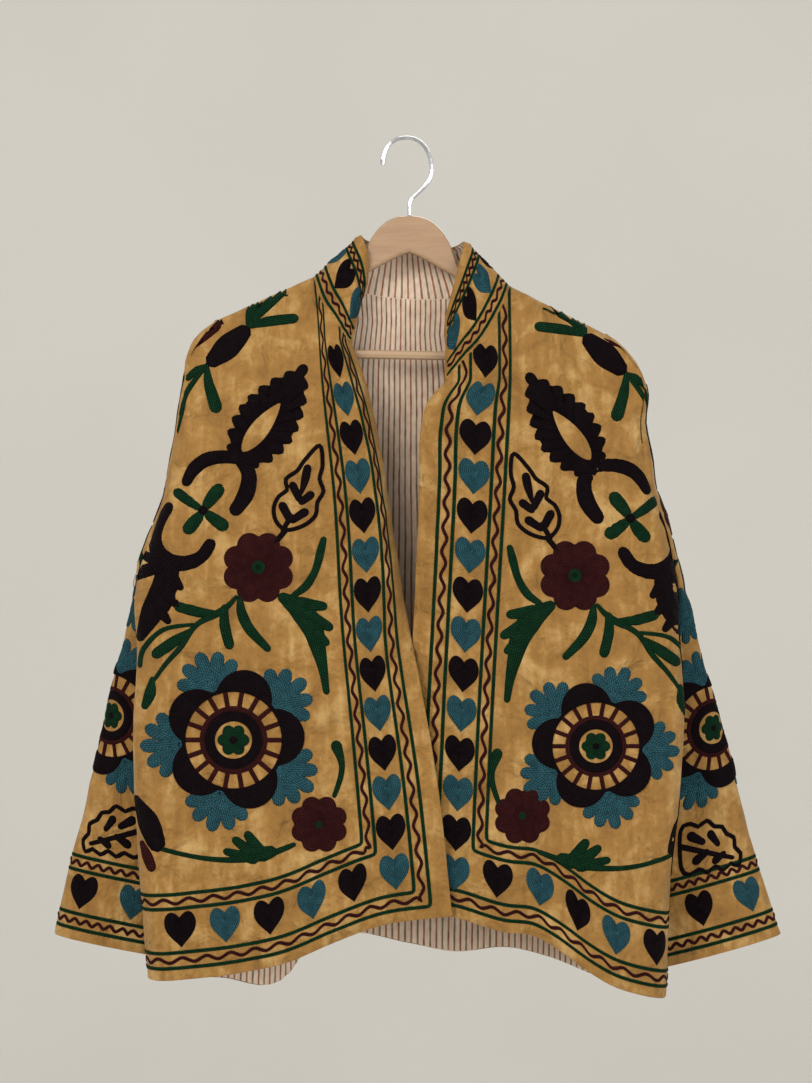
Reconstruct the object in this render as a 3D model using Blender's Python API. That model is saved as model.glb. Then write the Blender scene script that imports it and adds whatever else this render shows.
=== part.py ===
"""An embroidered velvet jacket hanging open on a wooden hanger: its cloth walls and the hanger.

Metres, +Z up, +X to the right and -Y towards the viewer of the front. The origin is the inside of the
hook's crown, where the hanger rests on what it hangs from. Heights are given as drops below the origin.
"""

import functools
import math

import bmesh
import bpy
import numpy as np

# Cloth and seams
VELVET = 0.0020
LINING = 0.0010
SLEEVE_CLOTH = 0.0012
SEAM_GAP = 0.0003
LINING_GAP = 0.0005

# Hanger
HANGER_X = 0.0045
WOOD_THICK = 0.012
BAR_DROP = 0.215
BAR_RADIUS = 0.0045
WIRE_RADIUS = 0.0020

# Where the side seam and the armhole meet
UNDERARM_DROP = 0.430

# The vertical border along each front edge
BORDER_WIDTH = 0.084


class Table:
    """A short table read as smooth curves over its first column."""

    def __init__(self, names, rows):
        columns = np.array(rows, float).T
        self.names = names.split()
        self.columns = dict(zip(self.names, columns))
        self.keys = columns[0]
        self.slopes = {name: np.gradient(column, self.keys) for name, column in self.columns.items()}

    def __call__(self, name, at):
        """The named column's value where the first column is at; level past the ends."""
        keys, ys, slopes = self.keys, self.columns[name], self.slopes[name]
        if at <= keys[0]:
            return float(ys[0])
        if at >= keys[-1]:
            return float(ys[-1])
        i = int(np.searchsorted(keys, at)) - 1
        width = keys[i + 1] - keys[i]
        t = (at - keys[i]) / width
        return float(
            ys[i] * (1 + 2 * t) * (1 - t) ** 2
            + ys[i + 1] * t * t * (3 - 2 * t)
            + slopes[i] * width * t * (1 - t) ** 2
            - slopes[i + 1] * width * t * t * (1 - t)
        )


# Front edge, border line and side silhouette of each front, seen from the front, by drop
LEFT_EDGE = Table("drop x", [
    (0.202, -0.056), (0.252, -0.038), (0.306, -0.027), (0.381, -0.015), (0.471, -0.001),
    (0.544, 0.013), (0.638, 0.029), (0.766, 0.043),
])
LEFT_BORDER = Table("drop x", [
    (0.137, -0.094), (0.180, -0.0895), (0.234, -0.086), (0.367, -0.073), (0.471, -0.067), (0.600, -0.055), (0.766, -0.041),
])
LEFT_SIDE = Table("drop x", [
    (0.179, -0.187), (0.196, -0.202), (0.213, -0.213), (0.250, -0.221), (0.330, -0.234), (0.390, -0.250),
    (0.430, -0.266), (0.460, -0.270), (0.510, -0.267), (0.580, -0.271), (0.700, -0.267), (0.832, -0.257),
])
RIGHT_EDGE = Table("drop x", [
    (0.243, 0.038), (0.263, 0.021), (0.285, 0.015), (0.340, 0.013), (0.440, 0.009), (0.600, 0.001),
    (0.766, -0.007),
])
RIGHT_BORDER = Table("drop x", [
    (0.146, 0.103), (0.243, 0.103), (0.340, 0.098), (0.440, 0.092), (0.600, 0.083), (0.766, 0.076),
])
RIGHT_SIDE = Table("drop x", [
    (0.193, 0.196), (0.210, 0.214), (0.228, 0.228), (0.248, 0.235), (0.285, 0.231), (0.330, 0.237),
    (0.390, 0.256), (0.430, 0.266), (0.500, 0.270), (0.570, 0.274), (0.640, 0.271), (0.720, 0.262),
    (0.851, 0.257),
])

# Depth of the side edges of front and back: the armhole above the underarm, the side seam below it
SIDE_DEPTH = Table("drop front back", [
    (0.000, -0.010, 0.010), (0.017, -0.014, 0.012), (0.034, -0.018, 0.013), (0.071, -0.023, 0.013),
    (0.121, -0.027, 0.012), (0.171, -0.028, 0.006), (0.221, -0.025, -0.006), (0.251, -0.018, -0.018),
    (0.290, -0.022, -0.022), (0.671, -0.022, -0.022),
])

# Neck and shoulder outline of each side, by x
LEFT_NECK = Table("x drop", [(-0.094, 0.137), (-0.086, 0.160), (-0.073, 0.180), (-0.061, 0.198), (-0.054, 0.206)])
RIGHT_NECK = Table("x drop", [
    (0.038, 0.243), (0.056, 0.222), (0.073, 0.204), (0.089, 0.178), (0.098, 0.160), (0.103, 0.146),
])
LEFT_SHOULDER = ((-0.094, 0.137), (-0.187, 0.179))
RIGHT_SHOULDER = ((0.103, 0.146), (0.196, 0.193))

# Hem outline, by x
LEFT_HEM = Table("x drop", [
    (-0.257, 0.832), (-0.200, 0.828), (-0.156, 0.821), (-0.115, 0.811), (-0.076, 0.795), (-0.028, 0.777),
    (0.043, 0.766),
])
RIGHT_HEM = Table("x drop", [
    (-0.007, 0.766), (0.043, 0.768), (0.095, 0.783), (0.126, 0.788), (0.146, 0.799), (0.172, 0.817),
    (0.200, 0.834), (0.257, 0.851),
])
BACK_HEM = Table("x drop", [
    (-0.257, 0.832), (-0.190, 0.837), (-0.121, 0.837), (-0.106, 0.817), (-0.060, 0.799), (0.000, 0.808),
    (0.050, 0.818), (0.100, 0.812), (0.146, 0.820), (0.200, 0.838), (0.257, 0.851),
])
BACK_NECK_DIP = 0.016

# How far the fronts and the back stand from the hanger's plane, by the drop below the shoulder line
RIDGE = 0.0110
RIDGE_ROUND = 0.0110
STAND = Table("drop front back", [
    (0.000, 0.0000, 0.0000), (0.030, 0.0060, 0.0030), (0.060, 0.0150, 0.0080), (0.090, 0.0225, 0.0120),
    (0.140, 0.0290, 0.0165), (0.220, 0.0350, 0.0210), (0.350, 0.0410, 0.0255), (0.700, 0.0470, 0.0310),
])
# The back is pushed forward beside the sleeves, which hang behind it
BACK_SIDE_STAND = 0.003
BACK_SIDE_FROM = 0.100
BACK_SIDE_TO = 0.195

# The left front's edge rolls inwards at the top: the cloth's turn in degrees, by drop
LEFT_ROLL = Table("drop turn lift", [
    (0.202, 46, 0.003), (0.235, 50, 0.003), (0.300, 68, 0.000), (0.380, 70, 0.000), (0.440, 60, 0.000),
    (0.471, 48, 0.001),
    (0.500, 30, 0.002), (0.530, 16, 0.004), (0.600, 5, 0.006), (0.680, 0, 0.007), (0.766, 0, 0.007),
])
RIGHT_ROLL = Table("drop turn lift", [
    (0.243, 30, 0.000), (0.300, 16, -0.002), (0.440, 16, -0.006), (0.530, 16, -0.008), (0.650, 8, -0.004),
    (0.766, 4, -0.002),
])
ROLL_FROM = 0.046
ROLL_TO = 0.020

# The largest folds of each panel, as ridges (+) or troughs (-) from one end to the other
FOLDS = {
    "front_left": Table("x1 drop1 x2 drop2 width height", [
        (-0.150, 0.600, -0.115, 0.860, 0.030, 0.0050),
        (-0.210, 0.520, -0.205, 0.860, 0.024, -0.0045),
        (-0.200, 0.300, -0.140, 0.420, 0.030, -0.0045),
    ]),
    "front_right": Table("x1 drop1 x2 drop2 width height", [
        (0.232, 0.285, 0.150, 0.400, 0.032, -0.0060),
        (0.145, 0.620, 0.122, 0.860, 0.026, -0.0055),
        (0.190, 0.640, 0.186, 0.880, 0.026, 0.0055),
    ]),
    "back": Table("x1 drop1 x2 drop2 width height", [
        (-0.107, 0.640, -0.113, 0.860, 0.024, -0.0060),
        (-0.060, 0.500, -0.070, 0.860, 0.028, 0.0055),
        (0.050, 0.450, 0.052, 0.860, 0.030, 0.0060),
        (0.105, 0.600, 0.110, 0.860, 0.026, -0.0045),
    ]),
}

# The sleeve's outermost line, seen from the front, from the shoulder's tip to the cuff
LEFT_OUTLINE = Table("drop x", [
    (0.179, -0.187), (0.187, -0.200), (0.199, -0.213), (0.212, -0.219), (0.248, -0.2235), (0.302, -0.2335),
    (0.330, -0.2390), (0.382, -0.2530), (0.407, -0.2640), (0.430, -0.2725), (0.457, -0.2755), (0.500, -0.286), (0.560, -0.301),
    (0.609, -0.312), (0.660, -0.323), (0.730, -0.342), (0.798, -0.357),
])
RIGHT_OUTLINE = Table("drop x", [
    (0.193, 0.196), (0.198, 0.206), (0.208, 0.217), (0.228, 0.232), (0.250, 0.240), (0.285, 0.239),
    (0.310, 0.244), (0.348, 0.252), (0.380, 0.261), (0.405, 0.268), (0.442, 0.279), (0.510, 0.296),
    (0.558, 0.310), (0.611, 0.325), (0.660, 0.336), (0.730, 0.356), (0.799, 0.379),
])

# Level slices of the sleeve: how deep its outermost line lies, how far it reaches behind the armhole's
# back edge and in behind the back. Above the underarm by the drop below the shoulder's tip ...
CAP = Table("drop y_out bulge inward y_in", [
    (0.000, 0.000, 0.001, 0.000, 0.000), (0.036, 0.001, 0.003, 0.000, 0.000), (0.071, 0.002, 0.005, 0.000, 0.000),
    (0.121, 0.005, 0.011, 0.000, 0.001), (0.150, 0.007, 0.017, 0.004, 0.007), (0.171, 0.009, 0.024, 0.010, 0.012),
    (0.213, 0.011, 0.042, 0.026, 0.011), (0.251, 0.012, 0.064, 0.044, 0.009),
])
# ... and below it, by the drop below the underarm: the seam in front (s), the inner edge (in), the back (k)
ARM = Table("drop x_s y_s y_out x_in y_in y_k hug", [
    (0.000, 0.2665, -0.018, 0.012, 0.222, 0.009, 0.046, 1.0), (0.015, 0.2700, -0.010, 0.014, 0.217, 0.009, 0.048, 1.0),
    (0.035, 0.2715, 0.000, 0.017, 0.212, 0.009, 0.051, 1.0), (0.060, 0.2690, 0.007, 0.021, 0.209, 0.010, 0.054, 0.6),
    (0.095, 0.2550, 0.010, 0.025, 0.207, 0.014, 0.056, 0.2), (0.150, 0.2500, 0.010, 0.029, 0.206, 0.022, 0.056, 0.0),
    (0.250, 0.2620, 0.010, 0.031, 0.206, 0.030, 0.056, 0.0), (0.368, 0.2840, 0.011, 0.033, 0.212, 0.034, 0.057, 0.0),
])
FOLD_AT = 0.013
ARM_DROPS = (0.012, 0.026, 0.045, 0.070, 0.105, 0.150, 0.200, 0.250, 0.300, 0.345, 0.368)
CUFF_SLOPE = {"sleeve_left": 0.190, "sleeve_right": 0.265}
CUFF_SHIFT = {"sleeve_left": 0.000, "sleeve_right": 0.020}
SLEEVE_FRONT = 5
SLEEVE_BACK = 14

# The collar's top edge, from the left front corner round the back to the right front corner
COLLAR_TOP = Table("along x y drop", [
    (0.00, -0.0430, 0.010, 0.150), (0.07, -0.0385, -0.004, 0.138), (0.16, -0.0395, -0.012, 0.114),
    (0.25, -0.0470, -0.004, 0.096), (0.33, -0.0420, 0.014, 0.099), (0.42, -0.0200, 0.029, 0.106),
    (0.50, 0.0040, 0.033, 0.109), (0.58, 0.0280, 0.030, 0.109), (0.66, 0.0500, 0.016, 0.105),
    (0.73, 0.0585, -0.003, 0.102), (0.82, 0.0535, -0.014, 0.122), (0.91, 0.0470, -0.018, 0.147),
    (1.00, 0.0390, -0.020, 0.177),
])

# Hanger: upper and lower edge of the wood either side of the middle, and the wire of the hook
WOOD_EDGES = Table("away top bottom", [
    (0.000, 0.0755, 0.1125), (0.010, 0.0765, 0.1165), (0.020, 0.0800, 0.1215), (0.028, 0.0858, 0.1260),
    (0.034, 0.0925, 0.1295), (0.038, 0.0985, 0.1315), (0.041, 0.1045, 0.1330), (0.044, 0.1135, 0.1350),
    (0.048, 0.1235, 0.1378), (0.055, 0.1305, 0.1430), (0.075, 0.1390, 0.1570), (0.100, 0.1493, 0.1720),
    (0.140, 0.1680, 0.1890), (0.190, 0.1916, 0.2105),
])
WOOD_LENGTH = 0.196
HANGER_TILT = 0.020
HOOK_PATH = Table("along x drop", [
    (0, -0.0240, 0.0250), (1, -0.0225, 0.0150), (2, -0.0190, 0.0065), (3, -0.0120, 0.0000),
    (4, -0.0030, -0.0022), (5, 0.0060, -0.0018), (6, 0.0150, 0.0030), (7, 0.0215, 0.0120),
    (8, 0.0250, 0.0240), (9, 0.0252, 0.0340), (10, 0.0215, 0.0420), (11, 0.0135, 0.0510),
    (12, 0.0065, 0.0580), (13, 0.0042, 0.0630), (14, 0.0040, 0.0690), (15, 0.0040, 0.0751),
])
HOOK_BALL = 1.4

# Grid sizes and the places of the panels' rows: to the underarm, then to the hem
BORDER_COLUMNS = 7
FIELD_COLUMNS = 8
TURN_COLUMNS = 4
TURN_AT = 0.85
SHOULDER_COLUMNS = 4
UPPER_ROWS = (0, 0.010, 0.035, 0.080, 0.145, 0.230, 0.340, 0.460, 0.580, 0.700, 0.800, 0.900, 1)
LOWER_ROWS = (0.09, 0.19, 0.29, 0.39, 0.50, 0.61, 0.72, 0.82, 0.91, 1)
COLLAR_BACK = 12
COLLAR_ROWS = 5


def smooth(t):
    """A soft step from 0 to 1."""
    t = min(max(t, 0.0), 1.0)
    return t * t * (3 - 2 * t)


def mix(a, b, t):
    return a + (b - a) * t


def shoulder_line(ends, x):
    """Drop of the straight shoulder line, carried on past its ends."""
    (x1, drop1), (x2, drop2) = ends
    return drop1 + (x - x1) * (drop2 - drop1) / (x2 - x1)


def stand(name, below):
    """How far the cloth stands off the hanger's plane at a drop below the shoulder line."""
    sign = -1 if below < 0 else 1
    below = abs(below)
    rim = min(below / RIDGE_ROUND, 1.0)
    return sign * (RIDGE * math.sqrt(1 - (1 - rim) ** 2) + STAND(name, below))


def fold_height(name, x, drop):
    """Sum of a panel's folds at one place."""
    total = 0.0
    folds = FOLDS[name]
    for x1, d1, x2, d2, width, height in zip(*folds.columns.values()):
        along = ((x - x1) * (x2 - x1) + (drop - d1) * (d2 - d1)) / ((x2 - x1) ** 2 + (d2 - d1) ** 2)
        near = min(max(along, 0.0), 1.0)
        away = math.hypot(x - mix(x1, x2, near), drop - mix(d1, d2, near))
        total += height * smooth(along / 0.4) * math.exp(-((away / width) ** 2))
    return total


def unit(vector):
    """A vector of length 1."""
    return vector / max(float(np.linalg.norm(vector)), 1e-12)


def normal_at(surface, u, drop, out):
    """Unit normal of a surface function at (u, drop), turned to the side that out points to."""
    across = surface(u + 0.004, drop) - surface(u - 0.004, drop)
    down = surface(u, drop + 0.0003) - surface(u, drop - 0.0003)
    n = unit(np.cross(across, down))
    return n if np.dot(n, out) > 0 else -n


class Front:
    """One front panel, from its front edge to the armhole and side seam."""

    def __init__(self, name, out, edge, border, side, neck, shoulder, hem, roll):
        self.name = name
        self.out = out
        self.edge = edge
        self.border = border
        self.side = side
        self.neck = neck
        self.shoulder = shoulder
        self.hem = hem
        self.roll = roll
        self.tip_drop = shoulder[1][1]

    def side_x(self, drop):
        return self.side("x", drop)

    def side_y(self, x, drop, which):
        """Depth of the armhole or side seam, arched over at the shoulder's tip."""
        span = (UNDERARM_DROP - self.tip_drop) / 0.251
        below = drop - shoulder_line(self.shoulder, x)
        rim = min(abs(below) / RIDGE_ROUND, 1.0)
        arch = math.copysign(math.sqrt(1 - (1 - rim) ** 2), below)
        return SIDE_DEPTH(which, max(drop - self.tip_drop, 0.0) / span) * arch

    def cloth_y(self, x, drop):
        """Depth of the panel's face away from its edges."""
        face = -stand("front", drop - shoulder_line(self.shoulder, x))
        return face - fold_height(self.name, x, drop)

    def border_point(self, along, drop):
        """A place on the border strip, by its distance from the front edge."""
        turn = math.radians(self.roll("turn", drop))
        lift = self.roll("lift", drop)
        x0 = self.border("x", drop)
        x_edge = self.edge("x", drop)
        steps = 24
        width = BORDER_WIDTH / steps
        xs, ys = [0.0], [0.0]
        for i in range(steps + 4):
            place = BORDER_WIDTH - (i + 0.5) * width
            bend = turn * smooth((ROLL_FROM - place) / (ROLL_FROM - ROLL_TO))
            xs.append(xs[-1] + width * math.cos(bend))
            ys.append(ys[-1] + width * math.sin(bend))
        walked = np.arange(steps + 5) * width
        reach = (x_edge - x0) / (-self.out * xs[steps])
        at = BORDER_WIDTH - along
        if at < 0:
            return x0 + at * -self.out * reach, self.cloth_y(x0, drop)
        x = x0 - self.out * reach * float(np.interp(at, walked, xs))
        flat = self.cloth_y(mix(x0, x_edge, min(at / BORDER_WIDTH, 1.0)), drop)
        return x, flat + float(np.interp(at, walked, ys)) - lift * smooth(at / BORDER_WIDTH)

    def point(self, column, drop):
        """A place on the outer face. Columns run from -2 at the front edge, -1 at the border line,
        0 where the side starts to turn, and 1 at the armhole or side seam."""
        if column < -1:
            x, y = self.border_point(BORDER_WIDTH * (column + 2), drop)
            return np.array((x, y, -drop))
        x0 = self.border("x", drop)
        x_side = self.side_x(drop)
        below = smooth((drop - UNDERARM_DROP + 0.04) / 0.05)
        turned = mix(0.016, 0.026, below) * smooth((drop - self.tip_drop + 0.03) / 0.06)
        x_turn = x_side - self.out * turned
        if column < 0:
            x = mix(x0, x_turn, column + 1)
            return np.array((x, self.cloth_y(x, drop), -drop))
        last = math.radians(mix(52, 90, below))
        angle = column * last
        across = math.sin(angle) / math.sin(last)
        back = (1 - math.cos(angle)) / (1 - math.cos(last))
        x = mix(x_turn, x_side, across)
        face = self.cloth_y(x, drop)
        return np.array((x, mix(face, self.side_y(x, drop, "front"), back), -drop))

    def top_outline(self, x):
        """Drop of the neckline or shoulder seam at x."""
        neck_end = self.shoulder[0][0]
        if (x - neck_end) * self.out > 0:
            return shoulder_line(self.shoulder, x)
        return self.neck("drop", x)

    @functools.lru_cache(maxsize=None)
    def top_drop(self, column):
        """Where a column of the panel meets its neckline or shoulder seam."""
        low, high = 0.10, 0.30
        for _ in range(40):
            middle = (low + high) / 2
            x = self.point(column, middle)[0]
            low, high = (low, middle) if middle > self.top_outline(x) else (middle, high)
        return (low + high) / 2

    @functools.lru_cache(maxsize=None)
    def hem_drop(self, column):
        """Where a column of the panel meets the hem."""
        x = self.point(column, 0.80)[0]
        return self.hem("drop", x)

    def at(self, column, down):
        """A place by column and by its share of the way from the top edge to the hem."""
        return self.point(column, self.drop_at(column, down))

    def drop_at(self, column, down):
        """Drop of a place by its share of the way down."""
        return mix(self.top_drop(column), self.hem_drop(column), down)

    def normal(self, column, down):
        """Unit normal of the outer face."""
        across = -self.out * 0.8 if column < -1 else self.out * 0.3
        n = normal_at(self.point, column, self.drop_at(column, down), np.array((across, -1, 0.2)))
        if column == 1:
            n = unit(np.array((self.out * max(n[0] * self.out, 0.1), n[1], n[2])))
        return level(n) if down == 0 and column >= -1 else n


LEFT = Front("front_left", -1, LEFT_EDGE, LEFT_BORDER, LEFT_SIDE, LEFT_NECK, LEFT_SHOULDER, LEFT_HEM, LEFT_ROLL)
RIGHT = Front(
    "front_right", 1, RIGHT_EDGE, RIGHT_BORDER, RIGHT_SIDE, RIGHT_NECK, RIGHT_SHOULDER, RIGHT_HEM, RIGHT_ROLL
)


class Back:
    """The back panel, from the left side seam to the right one."""

    def top_drop(self, x):
        """Drop of the shoulder seams and of the back neckline."""
        left, right = LEFT_SHOULDER[0], RIGHT_SHOULDER[0]
        if x <= left[0]:
            return shoulder_line(LEFT_SHOULDER, x)
        if x >= right[0]:
            return shoulder_line(RIGHT_SHOULDER, x)
        t = (x - left[0]) / (right[0] - left[0])
        return mix(left[1], right[1], t) + BACK_NECK_DIP * math.sin(math.pi * t) ** 0.8

    def ridge_drop(self, x):
        """Drop of the shoulder line, carried across the neck to a soft peak."""
        left = shoulder_line(LEFT_SHOULDER, x)
        right = shoulder_line(RIGHT_SHOULDER, x)
        return max(left, right)

    def cloth_y(self, x, drop):
        """Depth of the back's outer face away from its sides."""
        face = stand("back", drop - self.ridge_drop(x))
        beside = smooth((abs(x) - BACK_SIDE_FROM) / (BACK_SIDE_TO - BACK_SIDE_FROM))
        beside *= smooth((drop - 0.27) / 0.12)
        return mix(face, BACK_SIDE_STAND, beside) + fold_height("back", x, drop)

    def point(self, across, drop):
        """A place on the outer face; across runs from -1 at the left seam to 1 at the right one."""
        side = LEFT if across < 0 else RIGHT
        x_side = side.side_x(drop)
        below = smooth((drop - UNDERARM_DROP + 0.04) / 0.05)
        turned = mix(0.014, 0.020, below) * smooth((drop - side.tip_drop + 0.03) / 0.06)
        x_turn = x_side - side.out * turned
        share = abs(across)
        if share <= TURN_AT:
            x = x_turn * share / TURN_AT
            return np.array((x, self.cloth_y(x, drop), -drop))
        last = math.radians(mix(52, 90, below))
        angle = (share - TURN_AT) / (1 - TURN_AT) * last
        x = mix(x_turn, x_side, math.sin(angle) / math.sin(last))
        forward = (1 - math.cos(angle)) / (1 - math.cos(last))
        return np.array((x, mix(self.cloth_y(x, drop), side.side_y(x, drop, "back"), forward), -drop))

    @functools.lru_cache(maxsize=None)
    def ends(self, across):
        """Drops of a column's top edge and hem."""
        low, high = 0.10, 0.30
        for _ in range(40):
            middle = (low + high) / 2
            x = self.point(across, middle)[0]
            low, high = (low, middle) if middle > self.top_drop(x) else (middle, high)
        return low, BACK_HEM("drop", self.point(across, 0.80)[0])

    def at(self, across, down):
        """A place by its share of the way across and down."""
        return self.point(across, mix(*self.ends(across), down))

    def normal(self, across, down):
        """Unit normal of the outer face."""
        drop = mix(*self.ends(across), down)
        n = normal_at(self.point, across, drop, np.array((across * 0.3, 1, 0.2)))
        x = self.point(across, drop)[0]
        neck = LEFT_SHOULDER[0][0] + 0.0005 < x < RIGHT_SHOULDER[0][0] - 0.0005
        if abs(across) == 1:
            n = unit(np.array((across * max(n[0] * across, 0.1), n[1], n[2])))
        return n if neck or down > 0 else level(n)


BACK = Back()


def level(n):
    """A shoulder seam's normal, without its lean to the front or back."""
    return unit(n * np.array((1, 0, 1)))


def underarm_share(side):
    """The underarm's share of the way from the shoulder's tip to the hem, along the side."""
    hem = side.hem("drop", side.side_x(0.80))
    return (UNDERARM_DROP - side.tip_drop) / (hem - side.tip_drop)


def row_places(share):
    """The rows of a panel as shares of the way down."""
    upper = [share * place for place in UPPER_ROWS]
    return upper + [mix(share, 1.0, place) for place in LOWER_ROWS]


def border_columns():
    """The columns of a front's border, with one more close to the shoulder's end."""
    return np.append(np.linspace(-2, -1, BORDER_COLUMNS)[:-1], (-1.05, -1.0))


def front_columns():
    """The columns of a front, from the front edge to the side."""
    border = list(border_columns())
    field = list(np.linspace(-1, 0, FIELD_COLUMNS + 1))[1:]
    turn = list(np.linspace(0, 1, TURN_COLUMNS + 1))[1:]
    return border + field + turn


def seam_shift(place, sign):
    """Moves a place off the shoulder or side seam by half the gap, forward or back."""
    return place + np.array((0.0, sign * SEAM_GAP * 0.8, 0.0))


def front_grid(side):
    """Points and normals of a front's outer face."""
    points, normals = [], []
    for down in row_places(underarm_share(side)):
        points.append([seam_shift(side.at(column, down), -1) for column in front_columns()])
        normals.append([side.normal(column, down) for column in front_columns()])
    return points, normals


def back_row_share(across):
    """The underarm's share for a column of the back."""
    return mix(underarm_share(LEFT), underarm_share(RIGHT), smooth((across + 1) / 2))


def back_grid(columns, rows):
    """Points and normals of the back's outer face."""
    points, normals = [], []
    for i in rows:
        row, turned = [], []
        for across in columns:
            down = row_places(back_row_share(across))[i]
            row.append(seam_shift(BACK.at(across, down), 1))
            turned.append(BACK.normal(across, down))
        points.append(row)
        normals.append(turned)
    return points, normals


def moved(points, normals, distance):
    """A grid of points moved along their normals."""
    return [[p + n * distance for p, n in zip(row, turned)] for row, turned in zip(points, normals)]


def leaning(points, i, j, folded):
    """Whether a patch is split from its upper right corner: the shorter way on folded cloth, else never."""
    if not folded:
        return False
    one = np.linalg.norm(points[i][j] - points[i + 1][j + 1])
    return np.linalg.norm(points[i][j + 1] - points[i + 1][j]) < one * 0.98


def patch(bm, corners, leans):
    """Two triangles on four corners."""
    a, b, c, d = corners
    for three in (((a, b, d), (b, c, d)) if leans else ((a, b, c), (a, c, d))):
        bm.faces.new(three)


def shell(name, points, normals, thickness, material, joined_from=None):
    """A closed cloth wall: the outer grid, the same grid moved in by the thickness, and the rim.

    From row joined_from on, the last column is the first one again.
    """
    rows = len(points)
    joined = rows if joined_from is None else joined_from
    bm = bmesh.new()
    sheets = []
    for grid in (points, moved(points, normals, -thickness)):
        sheet = [[bm.verts.new(tuple(p)) for p in (row if i < joined else row[:-1])] for i, row in enumerate(grid)]
        sheets.append([row if i < joined else row + row[:1] for i, row in enumerate(sheet)])
    outer, lined = sheets
    for i in range(rows - 1):
        for j in range(len(outer[0]) - 1):
            leans = leaning(points, i, j, joined_from is not None)
            for sheet in (outer, lined):
                patch(bm, (sheet[i][j], sheet[i][j + 1], sheet[i + 1][j + 1], sheet[i + 1][j]), leans)
    for j in range(len(outer[0]) - 1):
        bm.faces.new((outer[0][j + 1], outer[0][j], lined[0][j + 1]))
        bm.faces.new((outer[0][j], lined[0][j], lined[0][j + 1]))
        bm.faces.new((outer[-1][j], outer[-1][j + 1], lined[-1][j + 1], lined[-1][j]))
    for i in range(min(rows - 1, joined)):
        bm.faces.new((outer[i][0], outer[i + 1][0], lined[i + 1][0], lined[i][0]))
        bm.faces.new((outer[i + 1][-1], outer[i][-1], lined[i][-1], lined[i + 1][-1]))
    return finish(name, bpy.data.meshes.new(name), bm, material)


def finish(name, mesh, bm, material):
    """Faces turned out, and the mesh put in its own collection."""
    bmesh.ops.recalc_face_normals(bm, faces=bm.faces)
    if bm.calc_volume(signed=True) < 0:
        bmesh.ops.reverse_faces(bm, faces=bm.faces)
    bm.to_mesh(mesh)
    bm.free()
    body = bpy.data.objects.new(name, mesh)
    place(name, body, material)
    return body


def place(name, body, material):
    """Its own material and its own collection, for one body."""
    body.data.materials.append(material)
    group = bpy.data.collections.new(name)
    bpy.context.scene.collection.children.link(group)
    group.objects.link(body)


def paint(name, colour, roughness, metallic=0.0):
    """A plain material."""
    material = bpy.data.materials.new(name)
    material.use_nodes = True
    shader = material.node_tree.nodes["Principled BSDF"]
    shader.inputs["Base Color"].default_value = (*colour, 1.0)
    shader.inputs["Roughness"].default_value = roughness
    shader.inputs["Metallic"].default_value = metallic
    return material


def build_front(side):
    points, normals = front_grid(side)
    shell(side.name, points, normals, VELVET, paint(side.name, (0.57, 0.34, 0.11), 0.85))


def back_columns():
    """The columns of the back; two of them meet the ends of the neck."""
    turn = np.linspace(-1, -TURN_AT, TURN_COLUMNS + 1)
    left, right = back_across(LEFT_SHOULDER[0][0]), back_across(RIGHT_SHOULDER[0][0])
    shoulder = np.linspace(-TURN_AT, left, SHOULDER_COLUMNS + 1)[1:]
    neck = np.linspace(left, right, COLLAR_BACK + 1)[1:]
    other = np.linspace(right, TURN_AT, SHOULDER_COLUMNS + 1)[1:]
    return list(turn) + list(shoulder) + list(neck) + list(other) + list(-turn[::-1][1:])


def back_places():
    """All columns and rows of the back."""
    return back_columns(), range(len(UPPER_ROWS) + len(LOWER_ROWS))


def build_back():
    points, normals = back_grid(*back_places())
    shell("back", points, normals, VELVET, paint("back", (0.57, 0.34, 0.11), 0.85))


def build_back_lining():
    """The lining lies inside the back, made from the back's own places moved in."""
    columns, rows = back_places()
    points, normals = back_grid(columns[1:-1], rows[2:])
    points = moved(points, normals, -(VELVET + LINING_GAP))
    shell("back_lining", points, normals, LINING, paint("back_lining", (0.72, 0.66, 0.58), 0.9))


def resample(line, count):
    """Evenly spaced places along a line of points, both ends kept."""
    line = np.array(line)
    steps = np.linalg.norm(np.diff(line, axis=0), axis=1)
    walked = np.concatenate(([0.0], np.cumsum(steps)))
    even = np.linspace(0, walked[-1], count + 1)
    return [np.array([np.interp(w, walked, line[:, k]) for k in range(2)]) for w in even]


def arc(a, b, along_first, power=1.0):
    """A quarter turn from a to b, leaving a along x (or along y) and reaching b along the other."""
    line = []
    for i in range(13):
        angle = math.pi / 2 * i / 12
        gone, left = math.sin(angle) ** power, math.cos(angle) ** power
        if along_first:
            line.append((mix(a[0], b[0], gone), mix(b[1], a[1], left)))
        else:
            line.append((mix(b[0], a[0], left), mix(a[1], b[1], gone)))
    return line


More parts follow.
